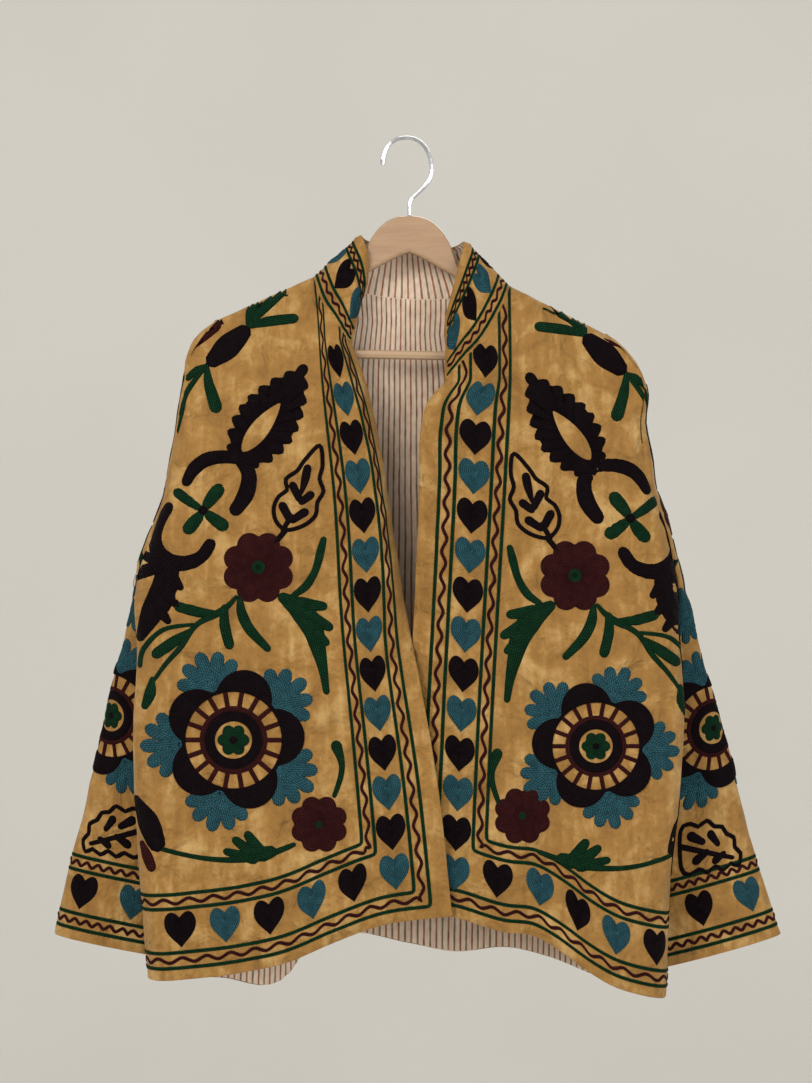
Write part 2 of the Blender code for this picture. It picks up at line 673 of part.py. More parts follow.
class Sleeve:
    """One sleeve, hanging from its armhole behind the body's side."""

    def __init__(self, name, side, outline):
        self.name = name
        self.side = side
        self.outline = outline
        self.slope = CUFF_SLOPE[name]
        self.shift = CUFF_SHIFT[name]
        self.share = underarm_share(side)

    def slice_line(self, front, out, back, inner, end, hug, folded=1.0):
        """A slice seen from above, on the right-hand side: its front part and its back part."""
        fore = [np.array(p) for p in resample(arc(front, out, True), SLEEVE_FRONT)]
        behind = arc(out, back, False) + arc(back, inner, True)[1:]
        close = np.array(arc(inner, end, True, 0.6))
        easy = np.array(arc(inner, end, False))
        behind += [tuple(p) for p in mix(easy, close, hug)[1:]]
        plain = resample(arc(out, end, False), SLEEVE_BACK)
        return fore + [mix(a, b, folded) for a, b in zip(plain, resample(behind, SLEEVE_BACK))][1:]

    def below_tip(self, drop):
        """Drop below the shoulder's tip, on the scale of the table of the cap."""
        return (drop - self.side.tip_drop) * 0.251 / (UNDERARM_DROP - self.side.tip_drop)

    def folded(self, below):
        """How much of the cap's fold behind the back a slice has."""
        return smooth((CAP("bulge", below) - FOLD_AT) / 0.008)

    def cap_slice(self, place_down):
        """A slice above the underarm, open towards the body."""
        down = self.share * max(place_down, 0.003)
        front, back = self.side.at(1.0, down), BACK.at(self.side.out, down)
        x, drop = abs(front[0]) + SEAM_GAP, -front[2]
        below = self.below_tip(drop)
        inward = CAP("inward", below)
        behind_back = BACK.cloth_y(self.side.out * (x - inward), drop) + 0.0035
        inner_y = max(CAP("y_in", below), behind_back) if inward > 0 else back[1]
        out = (max(abs(self.outline("x", drop)), x + 0.0034), CAP("y_out", below))
        inner = (x - inward, mix(back[1] + 0.0005, inner_y, smooth(inward / 0.004)))
        behind = (mix(inner[0], out[0], 0.5), back[1] + CAP("bulge", below))
        line = self.slice_line((x, front[1]), out, behind, inner, (x, back[1]), 1.0, self.folded(below))
        soft = [(p + 2 * q + r) / 4 for p, q, r in zip(line, line[1:], line[2:])]
        line = [line[0]] + soft + [line[-1]]
        return [np.array((self.side.out * p[0], p[1], -drop)) for p in line]

    def arm_slice(self, below):
        """A slice below the underarm, closed, and turned to the cuff's slope lower down."""
        drop = UNDERARM_DROP + below
        eased = smooth(below / 0.368)
        shift = self.shift * eased
        slope = self.slope * eased
        out = (abs(self.outline("x", drop)), ARM("y_out", below))
        seam = (ARM("x_s", below) + shift, ARM("y_s", below))
        inner = (ARM("x_in", below) + shift, ARM("y_in", below))
        behind = ((inner[0] + out[0]) / 2, ARM("y_k", below))
        line = self.slice_line(seam, out, behind, inner, seam, ARM("hug", below))
        return [np.array((self.side.out * p[0], p[1], -drop - slope * (out[0] - p[0]))) for p in line]

    def grid(self):
        """All slices, and how many of them are open."""
        cap = [self.cap_slice(place_down) for place_down in UPPER_ROWS[:-1]]
        arm = [self.arm_slice(below) for below in (0.0,) + ARM_DROPS]
        return cap + arm, len(cap)

    def normals(self, points, opened):
        """Outward normals from neighbouring places."""
        count = len(points[0]) - 1
        normals = []
        for i, row in enumerate(points):
            turned = []
            for j in range(count + 1):
                before, after = max(j - 1, 0), min(j + 1, count)
                if i >= opened:
                    before, after = (j - 1) % count, (j + 1) % count
                across = row[after] - row[before]
                down = points[min(i + 1, len(points) - 1)][j] - points[max(i - 1, 0)][j]
                turned.append(unit(np.cross(down, across)) * self.side.out)
            hug = ARM("hug", -row[0][2] - UNDERARM_DROP) if i >= opened else 0.0
            turned[0] = unit(np.array((-self.side.out * 0.35 * hug, -1.0, 0.0)))
            fold = self.folded(self.below_tip(-row[0][2]))
            seam = unit(np.array((-self.side.out * fold, 1.0 - fold, 0.0)))
            turned[-1] = turned[0] if i >= opened else seam
            normals.append(turned)
        return normals

    def build(self):
        points, opened = self.grid()
        normals = self.normals(points, opened)
        material = paint(self.name, (0.57, 0.34, 0.11), 0.85)
        shell(self.name, points, normals, SLEEVE_CLOTH, material, opened)


def neck_seam():
    """Places and normals along the neck seam, from the left front corner round the back."""
    border = border_columns()
    left, right = back_across(LEFT_SHOULDER[0][0]), back_across(RIGHT_SHOULDER[0][0])
    seam = [(LEFT.at(column, 0.0), LEFT.normal(column, 0.0)) for column in border]
    for across in np.linspace(left, right, COLLAR_BACK + 1)[1:-1]:
        seam.append((BACK.at(across, 0.0), BACK.normal(across, 0.0)))
    return seam + [(RIGHT.at(column, 0.0), RIGHT.normal(column, 0.0)) for column in border[::-1]]


def back_across(x):
    """The back's column that meets its top edge at x."""
    low, high = -1.0, 1.0
    for _ in range(40):
        middle = (low + high) / 2
        low, high = (middle, high) if BACK.at(middle, 0.0)[0] < x else (low, middle)
    return low


def collar_grid():
    """Points and normals of the collar's outer face, from the neck seam up to the top edge."""
    seam = neck_seam()
    points, normals = [], []
    for row in range(COLLAR_ROWS + 1):
        up = row / COLLAR_ROWS
        line, turned = [], []
        for i, (base, body_normal) in enumerate(seam):
            along = collar_along(i)
            top = np.array((
                COLLAR_TOP("x", along),
                COLLAR_TOP("y", along),
                -COLLAR_TOP("drop", along),
            ))
            rise = unit(top - base)
            line.append(mix(base + rise * SEAM_GAP * 2, top, up))
            turned.append((rise, body_normal, up))
        points.append(line)
        normals.append(turned)
    return points, collar_normals(points, normals)


def collar_along(index):
    """A seam place's share of the way round the collar's top edge."""
    if index <= BORDER_COLUMNS:
        return 0.25 * index / BORDER_COLUMNS
    if index <= BORDER_COLUMNS + COLLAR_BACK:
        return mix(0.25, 0.73, (index - BORDER_COLUMNS) / COLLAR_BACK)
    return mix(0.73, 1.0, (index - BORDER_COLUMNS - COLLAR_BACK) / BORDER_COLUMNS)


def collar_normals(points, known):
    """Outward normals: the body's at the neck seam, the collar's own above it."""
    normals = []
    for i, row in enumerate(points):
        turned = []
        for j in range(len(row)):
            rise, body_normal, up = known[i][j]
            around = row[min(j + 1, len(row) - 1)] - row[max(j - 1, 0)]
            own = unit(np.cross(around, rise))
            if np.dot(own, body_normal) < 0:
                own = -own
            turned.append(unit(mix(body_normal, own, smooth(up / 0.4))))
        normals.append(turned)
    return normals


def build_collar():
    points, normals = collar_grid()
    shell("collar", points, normals, VELVET, paint("collar", (0.57, 0.34, 0.11), 0.85))


def build_collar_lining():
    """The striped inside of the collar, where it shows behind the hanger."""
    points, normals = collar_grid()
    first, last = BORDER_COLUMNS + 2, BORDER_COLUMNS + COLLAR_BACK - 1
    rows = slice(1, COLLAR_ROWS + 1)
    points = [row[first:last] for row in moved(points, normals, -(VELVET + LINING_GAP))[rows]]
    normals = [row[first:last] for row in normals[rows]]
    shell("collar_lining", points, normals, LINING, paint("collar_lining", (0.72, 0.66, 0.58), 0.9))


def hung(x, y, drop):
    """A place on the hanger, which hangs tilted a little to the right."""
    return (x * 1.0 - HANGER_TILT * drop, y, -drop - HANGER_TILT * x)


def wood_section(away, side):
    """A rounded section of the arm: corners cut twice."""
    top, bottom = WOOD_EDGES("top", away), WOOD_EDGES("bottom", away)
    if away > WOOD_LENGTH - 0.009:
        bottom = max(bottom, BAR_DROP + 0.0075)
        tip = (away - WOOD_LENGTH + 0.009) / 0.009
        top += 0.008 * tip * tip
        bottom -= 0.004 * tip * tip
    half = WOOD_THICK / 2
    soft = min(0.0035, (bottom - top) * 0.3)
    ring = []
    for across, height, inset in ((1, bottom, -1), (1, top, 1), (-1, top, 1), (-1, bottom, -1)):
        flat = (across * (half - soft), height)
        mid = (across * (half - soft * 0.3), height + inset * soft * 0.3)
        tall = (across * half, height + inset * soft)
        corner = [flat, mid, tall] if across * inset < 0 else [tall, mid, flat]
        ring += corner
    return [hung(HANGER_X + side * away, y, drop) for y, drop in ring]


def build_wood():
    """The hanger's arch and arms as one body, a loft of sections from end to end."""
    dome = [0.004, 0.010, 0.015, 0.020, 0.024, 0.028, 0.031, 0.034, 0.038, 0.041, 0.044, 0.048]
    arm = dome + [0.055, 0.064, 0.078, 0.096, 0.125, 0.155]
    end = [WOOD_LENGTH - 0.0095, WOOD_LENGTH - 0.0089, WOOD_LENGTH - 0.005, WOOD_LENGTH - 0.002, WOOD_LENGTH]
    away = arm + end
    sections = [wood_section(a, -1) for a in reversed(away)] + [wood_section(0.0, 1)]
    sections += [wood_section(a, 1) for a in away]
    mesh = bpy.data.meshes.new("hanger_wood")
    bm = bmesh.new()
    rings = [[bm.verts.new(p) for p in section] for section in sections]
    for a, b in zip(rings, rings[1:]):
        for i in range(len(a)):
            k = (i + 1) % len(a)
            bm.faces.new((a[i], a[k], b[k], b[i]))
    bm.faces.new(rings[0])
    bm.faces.new(rings[-1][::-1])
    finish("hanger_wood", mesh, bm, paint("hanger_wood", (0.58, 0.40, 0.22), 0.45))


def tube(name, places, radius, material, widths=None):
    """A round rod through a few places."""
    curve = bpy.data.curves.new(name, "CURVE")
    curve.dimensions = "3D"
    curve.bevel_depth = radius
    curve.bevel_resolution = 2
    curve.use_fill_caps = True
    line = curve.splines.new("POLY")
    line.points.add(len(places) - 1)
    for i, spot in enumerate(places):
        line.points[i].co = (*spot, 1.0)
        line.points[i].radius = widths[i] if widths else 1.0
    body = bpy.data.objects.new(name, curve)
    place(name, body, material)


def build_bar():
    reach = WOOD_LENGTH - 0.0095 - SEAM_GAP * 0.7
    ends = [hung(HANGER_X - reach, 0, BAR_DROP), hung(HANGER_X + reach, 0, BAR_DROP)]
    tube("hanger_bar", ends, BAR_RADIUS, paint("hanger_bar", (0.58, 0.40, 0.22), 0.45))


def build_hook():
    """The wire hook, from its ball end over the crown and down to the wood."""
    steps = np.linspace(0, 15, 31)
    places = [hung(HOOK_PATH("x", s), 0.0, HOOK_PATH("drop", s)) for s in steps]
    widths = [1.1, HOOK_BALL, 1.1] + [1.0] * (len(places) - 3)
    tube("hanger_hook", places, WIRE_RADIUS, paint("hanger_hook", (0.80, 0.81, 0.83), 0.15, 1.0), widths)


def main():
    for old in list(bpy.data.objects):
        bpy.data.objects.remove(old)
    build_front(LEFT)
    build_front(RIGHT)
    build_back()
    build_back_lining()
    Sleeve("sleeve_left", LEFT, LEFT_OUTLINE).build()
    Sleeve("sleeve_right", RIGHT, RIGHT_OUTLINE).build()
    build_collar()
    build_collar_lining()
    build_wood()
    build_bar()
    build_hook()


main()
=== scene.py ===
"""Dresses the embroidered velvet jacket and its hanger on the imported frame.

Metres, +Z up, +X to the right and -Y towards the viewer of the front. The origin is the inside of the
hook's crown. Heights are drops below the origin. Motifs are laid out on a front view in millimetres: across
from the left, and down from 140 mm above the origin.
"""

import functools
import logging
import math
from collections.abc import Callable, Sequence
from dataclasses import dataclass, field
from enum import Enum

import bmesh
import bpy
import numpy as np
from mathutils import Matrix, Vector, noise
from mathutils.bvhtree import BVHTree

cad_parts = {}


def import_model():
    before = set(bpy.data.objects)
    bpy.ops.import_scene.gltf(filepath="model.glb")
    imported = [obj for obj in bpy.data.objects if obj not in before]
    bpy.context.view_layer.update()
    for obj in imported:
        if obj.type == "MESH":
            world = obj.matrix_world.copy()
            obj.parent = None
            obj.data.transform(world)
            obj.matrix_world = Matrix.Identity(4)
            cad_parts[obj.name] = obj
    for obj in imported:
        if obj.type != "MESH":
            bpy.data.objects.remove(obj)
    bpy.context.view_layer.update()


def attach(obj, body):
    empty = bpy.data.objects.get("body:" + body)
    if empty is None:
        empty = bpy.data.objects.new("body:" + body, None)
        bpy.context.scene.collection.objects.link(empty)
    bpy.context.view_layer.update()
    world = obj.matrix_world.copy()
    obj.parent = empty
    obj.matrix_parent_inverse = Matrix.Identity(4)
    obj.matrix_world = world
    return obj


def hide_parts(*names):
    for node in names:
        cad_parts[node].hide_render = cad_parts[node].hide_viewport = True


LOG = logging.getLogger("jacket")
Pair = tuple[float, float]
Spot = tuple[np.ndarray, np.ndarray]
Mapping = Callable[[float, float], Spot]

ACROSS_ZERO = 407.0
DOWN_ZERO = 140.0
MM = 0.001

# The embroidery: heights in millimetres, and a stroke's cross-section in shares of its width and height
STITCH_TOP = 1.1
SUNK = 0.5
STITCH_PROFILE = ((-0.5, -1.0), (-0.42, 0.65), (-0.15, 1.0), (0.15, 1.0), (0.42, 0.65), (0.5, -1.0))
# The two cross-sections past a stroke's end: how far past it and how wide, in shares of its width
ROUNDED_END = ((0.3, 0.8), (0.48, 0.3))
# The strip beside a free edge that puckers, in metres
EDGE_STRIP = 0.019
PUCKER_HEIGHT = 0.0006
PUCKER_STEP = 0.011
PUCKER_FADE = 0.008
# The cloth's unevenness: height and fineness of each noise
UNEVEN = ((0.0007, 42), (0.0004, 110))

# The roll along the collar's top edge
ROLL_SHARE = 0.86
ROLL_HEIGHT = 0.0022
# The collar's height in the units of its layout
COLLAR_SCALE = 50.0

# Small creases: ends (x, drop) and width in metres, height in millimetres, and the face they are on, -1 the
# front or 1 the back
CREASES: dict[str, tuple] = {
    "front_left": (
        (-0.205, 0.318, -0.16, 0.372, 0.006, -2.2, -1), (-0.222, 0.345, -0.178, 0.42, 0.007, -2.6, -1),
        (-0.232, 0.372, -0.204, 0.452, 0.0055, 2.0, -1), (-0.247, 0.408, -0.205, 0.5, 0.006, -2.2, -1),
        (-0.255, 0.55, -0.251, 0.66, 0.0055, -2.4, -1), (-0.243, 0.545, -0.241, 0.668, 0.005, 2.2, -1),
        (-0.249, 0.665, -0.238, 0.8, 0.007, -2.4, -1), (-0.176, 0.69, -0.15, 0.812, 0.011, 2.4, -1),
        (-0.12, 0.7, -0.108, 0.8, 0.009, -2.0, -1), (-0.212, 0.7, -0.205, 0.815, 0.01, -2.4, -1),
        (-0.13, 0.23, -0.095, 0.33, 0.01, -1.4, -1), (-0.18, 0.235, -0.205, 0.3, 0.007, -1.8, -1),
        (-0.09, 0.56, -0.08, 0.74, 0.012, 1.6, -1), (-0.16, 0.47, -0.1, 0.54, 0.012, -1.2, -1),
        (-0.04, 0.6, -0.034, 0.76, 0.006, 1.6, -1),
    ),
    "front_right": (
        (0.206, 0.3, 0.16, 0.38, 0.007, -2.4, -1), (0.222, 0.335, 0.182, 0.43, 0.006, -2.2, -1),
        (0.236, 0.372, 0.206, 0.452, 0.006, 2.2, -1), (0.248, 0.408, 0.208, 0.505, 0.006, -2.2, -1),
        (0.255, 0.52, 0.252, 0.67, 0.006, -2.4, -1), (0.243, 0.56, 0.24, 0.7, 0.006, 2.0, -1),
        (0.245, 0.68, 0.236, 0.82, 0.007, -2.4, -1), (0.168, 0.69, 0.158, 0.81, 0.009, -2.2, -1),
        (0.21, 0.7, 0.204, 0.83, 0.009, 2.4, -1), (0.11, 0.66, 0.105, 0.79, 0.009, 2.0, -1),
        (0.13, 0.24, 0.105, 0.34, 0.01, -1.4, -1), (0.08, 0.56, 0.074, 0.74, 0.011, 1.6, -1),
        (0.178, 0.24, 0.212, 0.31, 0.008, -1.8, -1), (0.04, 0.56, 0.038, 0.74, 0.008, -1.2, -1),
    ),
    "back": (
        (-0.06, 0.25, -0.09, 0.42, 0.014, -2.2, 1), (0.065, 0.25, 0.095, 0.43, 0.014, -2.2, 1),
        (-0.02, 0.3, -0.026, 0.76, 0.012, 2.0, 1), (0.04, 0.43, 0.046, 0.79, 0.012, -2.2, 1),
        (-0.09, 0.52, -0.08, 0.78, 0.011, -2.0, 1), (0.1, 0.56, 0.098, 0.8, 0.011, 2.2, 1),
        (-0.13, 0.3, -0.11, 0.46, 0.01, 1.8, 1), (0.14, 0.3, 0.122, 0.46, 0.01, -1.8, 1),
        (-0.15, 0.6, -0.14, 0.81, 0.012, 2.0, 1), (0.01, 0.56, 0.014, 0.8, 0.009, 1.6, 1),
    ),
    "sleeve_left": (
        (-0.262, 0.3, -0.232, 0.385, 0.007, -2.4, -1), (-0.3, 0.4, -0.262, 0.455, 0.007, -2.2, -1),
        (-0.315, 0.48, -0.275, 0.52, 0.008, -1.8, -1), (-0.29, 0.3, -0.3, 0.42, 0.009, 1.6, -1),
        (-0.32, 0.56, -0.28, 0.61, 0.008, -2.0, -1), (-0.335, 0.64, -0.29, 0.672, 0.008, 1.8, -1),
        (-0.3, 0.54, -0.31, 0.74, 0.007, -1.6, -1), (-0.29, 0.3, -0.27, 0.48, 0.009, -2.2, 1),
        (-0.3, 0.45, -0.24, 0.52, 0.009, -2.2, 1), (-0.3, 0.52, -0.31, 0.76, 0.009, 1.8, 1),
    ),
    "sleeve_right": (
        (0.26, 0.31, 0.24, 0.4, 0.007, -2.4, -1), (0.312, 0.4, 0.268, 0.47, 0.008, -2.4, -1),
        (0.325, 0.5, 0.282, 0.545, 0.008, -2.0, -1), (0.3, 0.3, 0.306, 0.43, 0.009, 1.6, -1),
        (0.335, 0.58, 0.292, 0.632, 0.008, -2.0, -1), (0.35, 0.66, 0.3, 0.705, 0.008, 2.0, -1),
        (0.318, 0.56, 0.33, 0.76, 0.007, -1.6, -1), (0.29, 0.3, 0.27, 0.48, 0.009, -2.2, 1),
        (0.32, 0.47, 0.25, 0.54, 0.009, -2.2, 1), (0.32, 0.54, 0.33, 0.78, 0.009, 1.8, 1),
    ),
}


class Thread(Enum):
    """The yarns, in the order of their materials."""

    AUBERGINE = 0
    MAROON = 1
    TEAL = 2
    GREEN = 3


# Cloth and seams
VELVET = 0.002
LINING = 0.001
SLEEVE_CLOTH = 0.0012
SEAM_GAP = 0.0003
LINING_GAP = 0.0005
# The rounded edge of the cloth: shares of its radius along the normal and outwards
RIM_PROFILE = ((0.7, 0.7), (0.0, 1.0), (-0.7, 0.7))

# Where the side seam and the armhole meet
UNDERARM_DROP = 0.43

# The vertical border along each front edge
BORDER_WIDTH = 0.084
BORDER_STEPS = 24


class Table:
    """A short table read as smooth curves over its first column."""

    def __init__(self, names: str, rows: Sequence[Sequence[float]]) -> None:
        """Reads the rows.

        Args:
            names: The columns' names, with spaces between.
            rows: One row for each place.
        """
        columns = np.array(rows, float).T
        self.columns = dict(zip(names.split(), columns))
        self.keys = columns[0]
        self.slopes = {name: np.gradient(column, self.keys) for name, column in self.columns.items()}

    def __call__(self, name: str, at: float) -> float:
        """One column's value; level past the ends.

        Args:
            name: The column.
            at: The place, on the scale of the first column.

        Returns:
            The value there.
        """
        keys, ys, slopes = self.keys, self.columns[name], self.slopes[name]
        if at <= keys[0]:
            return float(ys[0])
        if at >= keys[-1]:
            return float(ys[-1])
        i = int(np.searchsorted(keys, at)) - 1
        width = keys[i + 1] - keys[i]
        t = (at - keys[i]) / width
        start = ys[i] * (1 + 2 * t) * (1 - t) ** 2 + slopes[i] * width * t * (1 - t) ** 2
        end = ys[i + 1] * t * t * (3 - 2 * t) - slopes[i + 1] * width * t * t * (1 - t)
        return float(start + end)


# Front edge, border line and side silhouette of each front, seen from the front, by drop
LEFT_EDGE = Table("drop x", [
    (0.202, -0.056), (0.252, -0.038), (0.306, -0.027), (0.381, -0.015), (0.471, -0.001), (0.544, 0.013),
    (0.638, 0.029), (0.766, 0.043),
])
LEFT_BORDER = Table("drop x", [
    (0.137, -0.094), (0.18, -0.0895), (0.234, -0.086), (0.367, -0.073), (0.471, -0.067), (0.6, -0.055),
    (0.766, -0.041),
])
LEFT_SIDE = Table("drop x", [
    (0.179, -0.187), (0.196, -0.202), (0.213, -0.213), (0.25, -0.221), (0.33, -0.234), (0.39, -0.25),
    (0.43, -0.266), (0.46, -0.27), (0.51, -0.267), (0.58, -0.271), (0.7, -0.267), (0.832, -0.257),
])
RIGHT_EDGE = Table("drop x", [
    (0.243, 0.038), (0.263, 0.021), (0.285, 0.015), (0.34, 0.013), (0.44, 0.009), (0.6, 0.001),
    (0.766, -0.007),
])
RIGHT_BORDER = Table("drop x", [
    (0.146, 0.103), (0.243, 0.103), (0.34, 0.098), (0.44, 0.092), (0.6, 0.083), (0.766, 0.076),
])
RIGHT_SIDE = Table("drop x", [
    (0.193, 0.196), (0.21, 0.214), (0.228, 0.228), (0.248, 0.235), (0.285, 0.231), (0.33, 0.237),
    (0.39, 0.256), (0.43, 0.266), (0.5, 0.27), (0.57, 0.274), (0.64, 0.271), (0.72, 0.262), (0.851, 0.257),
])

# Depth of the side edges of front and back: the armhole above the underarm, the side seam below it
SIDE_DEPTH = Table("drop front back", [
    (0.0, -0.01, 0.01), (0.017, -0.014, 0.012), (0.034, -0.018, 0.013), (0.071, -0.023, 0.013),
    (0.121, -0.027, 0.012), (0.171, -0.028, 0.006), (0.221, -0.025, -0.006), (0.251, -0.018, -0.018),
    (0.29, -0.022, -0.022), (0.671, -0.022, -0.022),
])

# Neck and shoulder outline of each side, by x
LEFT_NECK = Table("x drop", [
    (-0.094, 0.137), (-0.086, 0.16), (-0.073, 0.18), (-0.061, 0.198), (-0.054, 0.206),
])
RIGHT_NECK = Table("x drop", [
    (0.038, 0.243), (0.056, 0.222), (0.073, 0.204), (0.089, 0.178), (0.098, 0.16), (0.103, 0.146),
])
LEFT_SHOULDER = ((-0.094, 0.137), (-0.187, 0.179))
RIGHT_SHOULDER = ((0.103, 0.146), (0.196, 0.193))

# Hem outline, by x
LEFT_HEM = Table("x drop", [
    (-0.257, 0.832), (-0.2, 0.828), (-0.156, 0.821), (-0.115, 0.811), (-0.076, 0.795), (-0.028, 0.777),
    (0.043, 0.766),
])
RIGHT_HEM = Table("x drop", [
    (-0.007, 0.766), (0.043, 0.768), (0.095, 0.783), (0.126, 0.788), (0.146, 0.799), (0.172, 0.817),
    (0.2, 0.834), (0.257, 0.851),
])
BACK_HEM = Table("x drop", [
    (-0.257, 0.832), (-0.19, 0.837), (-0.121, 0.837), (-0.106, 0.817), (-0.06, 0.799), (0.0, 0.808),
    (0.05, 0.818), (0.1, 0.812), (0.146, 0.82), (0.2, 0.838), (0.257, 0.851),
])
BACK_NECK_DIP = 0.016

# How far the fronts and the back stand from the hanger's plane, by the drop below the shoulder line
RIDGE = 0.011
RIDGE_ROUND = 0.011
STAND = Table("drop front back", [
    (0.0, 0.0, 0.0), (0.03, 0.006, 0.003), (0.06, 0.015, 0.008), (0.09, 0.0225, 0.012),
    (0.14, 0.029, 0.0165), (0.22, 0.035, 0.021), (0.35, 0.041, 0.0255), (0.7, 0.047, 0.031),
])
# The back is pushed forward beside the sleeves, which hang behind it
BACK_SIDE_STAND = 0.003
BACK_SIDE_FROM = 0.1
BACK_SIDE_TO = 0.195

# The left front's edge rolls inwards at the top: the cloth's turn in degrees, by drop
LEFT_ROLL = Table("drop turn lift", [
    (0.202, 46, 0.003), (0.235, 50, 0.003), (0.3, 68, 0.0), (0.38, 70, 0.0), (0.44, 60, 0.0),
    (0.471, 48, 0.001), (0.5, 30, 0.002), (0.53, 16, 0.004), (0.6, 5, 0.006), (0.68, 0, 0.007),
    (0.766, 0, 0.007),
])
RIGHT_ROLL = Table("drop turn lift", [
    (0.243, 30, 0.0), (0.3, 16, -0.002), (0.44, 16, -0.006), (0.53, 16, -0.008), (0.65, 8, -0.004),
    (0.766, 4, -0.002),
])
ROLL_FROM = 0.046
ROLL_TO = 0.02

# The largest folds of each panel, as ridges (+) or troughs (-) from one end to the other
FOLDS = {
    "front_left": Table("x1 drop1 x2 drop2 width height", [
        (-0.15, 0.6, -0.115, 0.86, 0.03, 0.005), (-0.21, 0.52, -0.205, 0.86, 0.024, -0.0045),
        (-0.2, 0.3, -0.14, 0.42, 0.03, -0.0045),
    ]),
    "front_right": Table("x1 drop1 x2 drop2 width height", [
        (0.232, 0.285, 0.15, 0.4, 0.032, -0.006), (0.145, 0.62, 0.122, 0.86, 0.026, -0.0055),
        (0.19, 0.64, 0.186, 0.88, 0.026, 0.0055),
    ]),
    "back": Table("x1 drop1 x2 drop2 width height", [
        (-0.107, 0.64, -0.113, 0.86, 0.024, -0.006), (-0.06, 0.5, -0.07, 0.86, 0.028, 0.0055),
        (0.05, 0.45, 0.052, 0.86, 0.03, 0.006), (0.105, 0.6, 0.11, 0.86, 0.026, -0.0045),
    ]),
}

# The sleeve's outermost line, seen from the front, from the shoulder's tip to the cuff
LEFT_OUTLINE = Table("drop x", [
    (0.179, -0.187), (0.187, -0.2), (0.199, -0.213), (0.212, -0.219), (0.248, -0.2235), (0.302, -0.2335),
    (0.33, -0.239), (0.382, -0.253), (0.407, -0.264), (0.43, -0.2725), (0.457, -0.2755), (0.5, -0.286),
    (0.56, -0.301), (0.609, -0.312), (0.66, -0.323), (0.73, -0.342), (0.798, -0.357),
])
RIGHT_OUTLINE = Table("drop x", [
    (0.193, 0.196), (0.198, 0.206), (0.208, 0.217), (0.228, 0.232), (0.25, 0.24), (0.285, 0.239),
    (0.31, 0.244), (0.348, 0.252), (0.38, 0.261), (0.405, 0.268), (0.442, 0.279), (0.51, 0.296),
    (0.558, 0.31), (0.611, 0.325), (0.66, 0.336), (0.73, 0.356), (0.799, 0.379),
])

# Level slices of the sleeve: how deep its outermost line lies, how far it reaches behind the armhole's
# back edge and in behind the back. Above the underarm by the drop below the shoulder's tip ...
CAP = Table("drop y_out bulge inward y_in", [
    (0.0, 0.0, 0.001, 0.0, 0.0), (0.036, 0.001, 0.003, 0.0, 0.0), (0.071, 0.002, 0.005, 0.0, 0.0),
    (0.121, 0.005, 0.011, 0.0, 0.001), (0.15, 0.007, 0.017, 0.004, 0.007),
    (0.171, 0.009, 0.024, 0.01, 0.012), (0.213, 0.011, 0.042, 0.026, 0.011),
    (0.251, 0.012, 0.064, 0.044, 0.009),
])
# ... and below it, by the drop below the underarm: the seam in front (s), the inner edge (in), the back (k)
ARM = Table("drop x_s y_s y_out x_in y_in y_k hug", [
    (0.0, 0.2665, -0.018, 0.012, 0.222, 0.009, 0.046, 1.0),
    (0.015, 0.27, -0.01, 0.014, 0.217, 0.009, 0.048, 1.0),
    (0.035, 0.2715, 0.0, 0.017, 0.212, 0.009, 0.051, 1.0),
    (0.06, 0.269, 0.007, 0.021, 0.209, 0.01, 0.054, 0.6),
    (0.095, 0.255, 0.01, 0.025, 0.207, 0.014, 0.056, 0.2),
    (0.15, 0.25, 0.01, 0.029, 0.206, 0.022, 0.056, 0.0),
    (0.25, 0.262, 0.01, 0.031, 0.206, 0.03, 0.056, 0.0),
    (0.368, 0.284, 0.011, 0.033, 0.212, 0.034, 0.057, 0.0),
])
FOLD_AT = 0.013
ARM_DROPS = (0.012, 0.026, 0.045, 0.07, 0.105, 0.15, 0.2, 0.25, 0.3, 0.345, 0.368)
CUFF_SLOPE = {"sleeve_left": 0.19, "sleeve_right": 0.265}
CUFF_SHIFT = {"sleeve_left": 0.0, "sleeve_right": 0.02}
SLEEVE_FRONT = 14
SLEEVE_BACK = 36

# The collar's top edge, from the left front corner round the back to the right front corner
COLLAR_TOP = Table("along x y drop", [
    (0.0, -0.043, 0.01, 0.15), (0.07, -0.0385, -0.004, 0.138), (0.16, -0.0395, -0.012, 0.114),
    (0.25, -0.047, -0.004, 0.096), (0.33, -0.042, 0.014, 0.099), (0.42, -0.02, 0.029, 0.106),
    (0.5, 0.004, 0.033, 0.109), (0.58, 0.028, 0.03, 0.109), (0.66, 0.05, 0.016, 0.105),
    (0.73, 0.0585, -0.003, 0.102), (0.82, 0.0535, -0.014, 0.122), (0.91, 0.047, -0.018, 0.147),
    (1.0, 0.039, -0.02, 0.177),
])

# Columns of a front's border and the shares of the collar's top edge over them; shares over the neck's ends
COLLAR_COLUMNS = (-2, -1.166667, -1.05, -1)
COLLAR_SHARES = (0.0, 0.178571, 0.214286, 0.25)
COLLAR_LEFT = 0.25
COLLAR_RIGHT = 0.73

# Drops between which every top edge lies, the drop at which a column's place on the hem is read, the cap's
# length in its tables, the least and greatest turn of a side in degrees, and how often a search halves
TOP_EDGES = (0.1, 0.3)
HEM_READ = 0.8
CAP_LENGTH = 0.251
SIDE_TURNS = (52, 90)
HALVINGS = 40
# How far to either side a normal is measured, in columns and in drops
NORMAL_STEPS = (0.004, 0.0003)

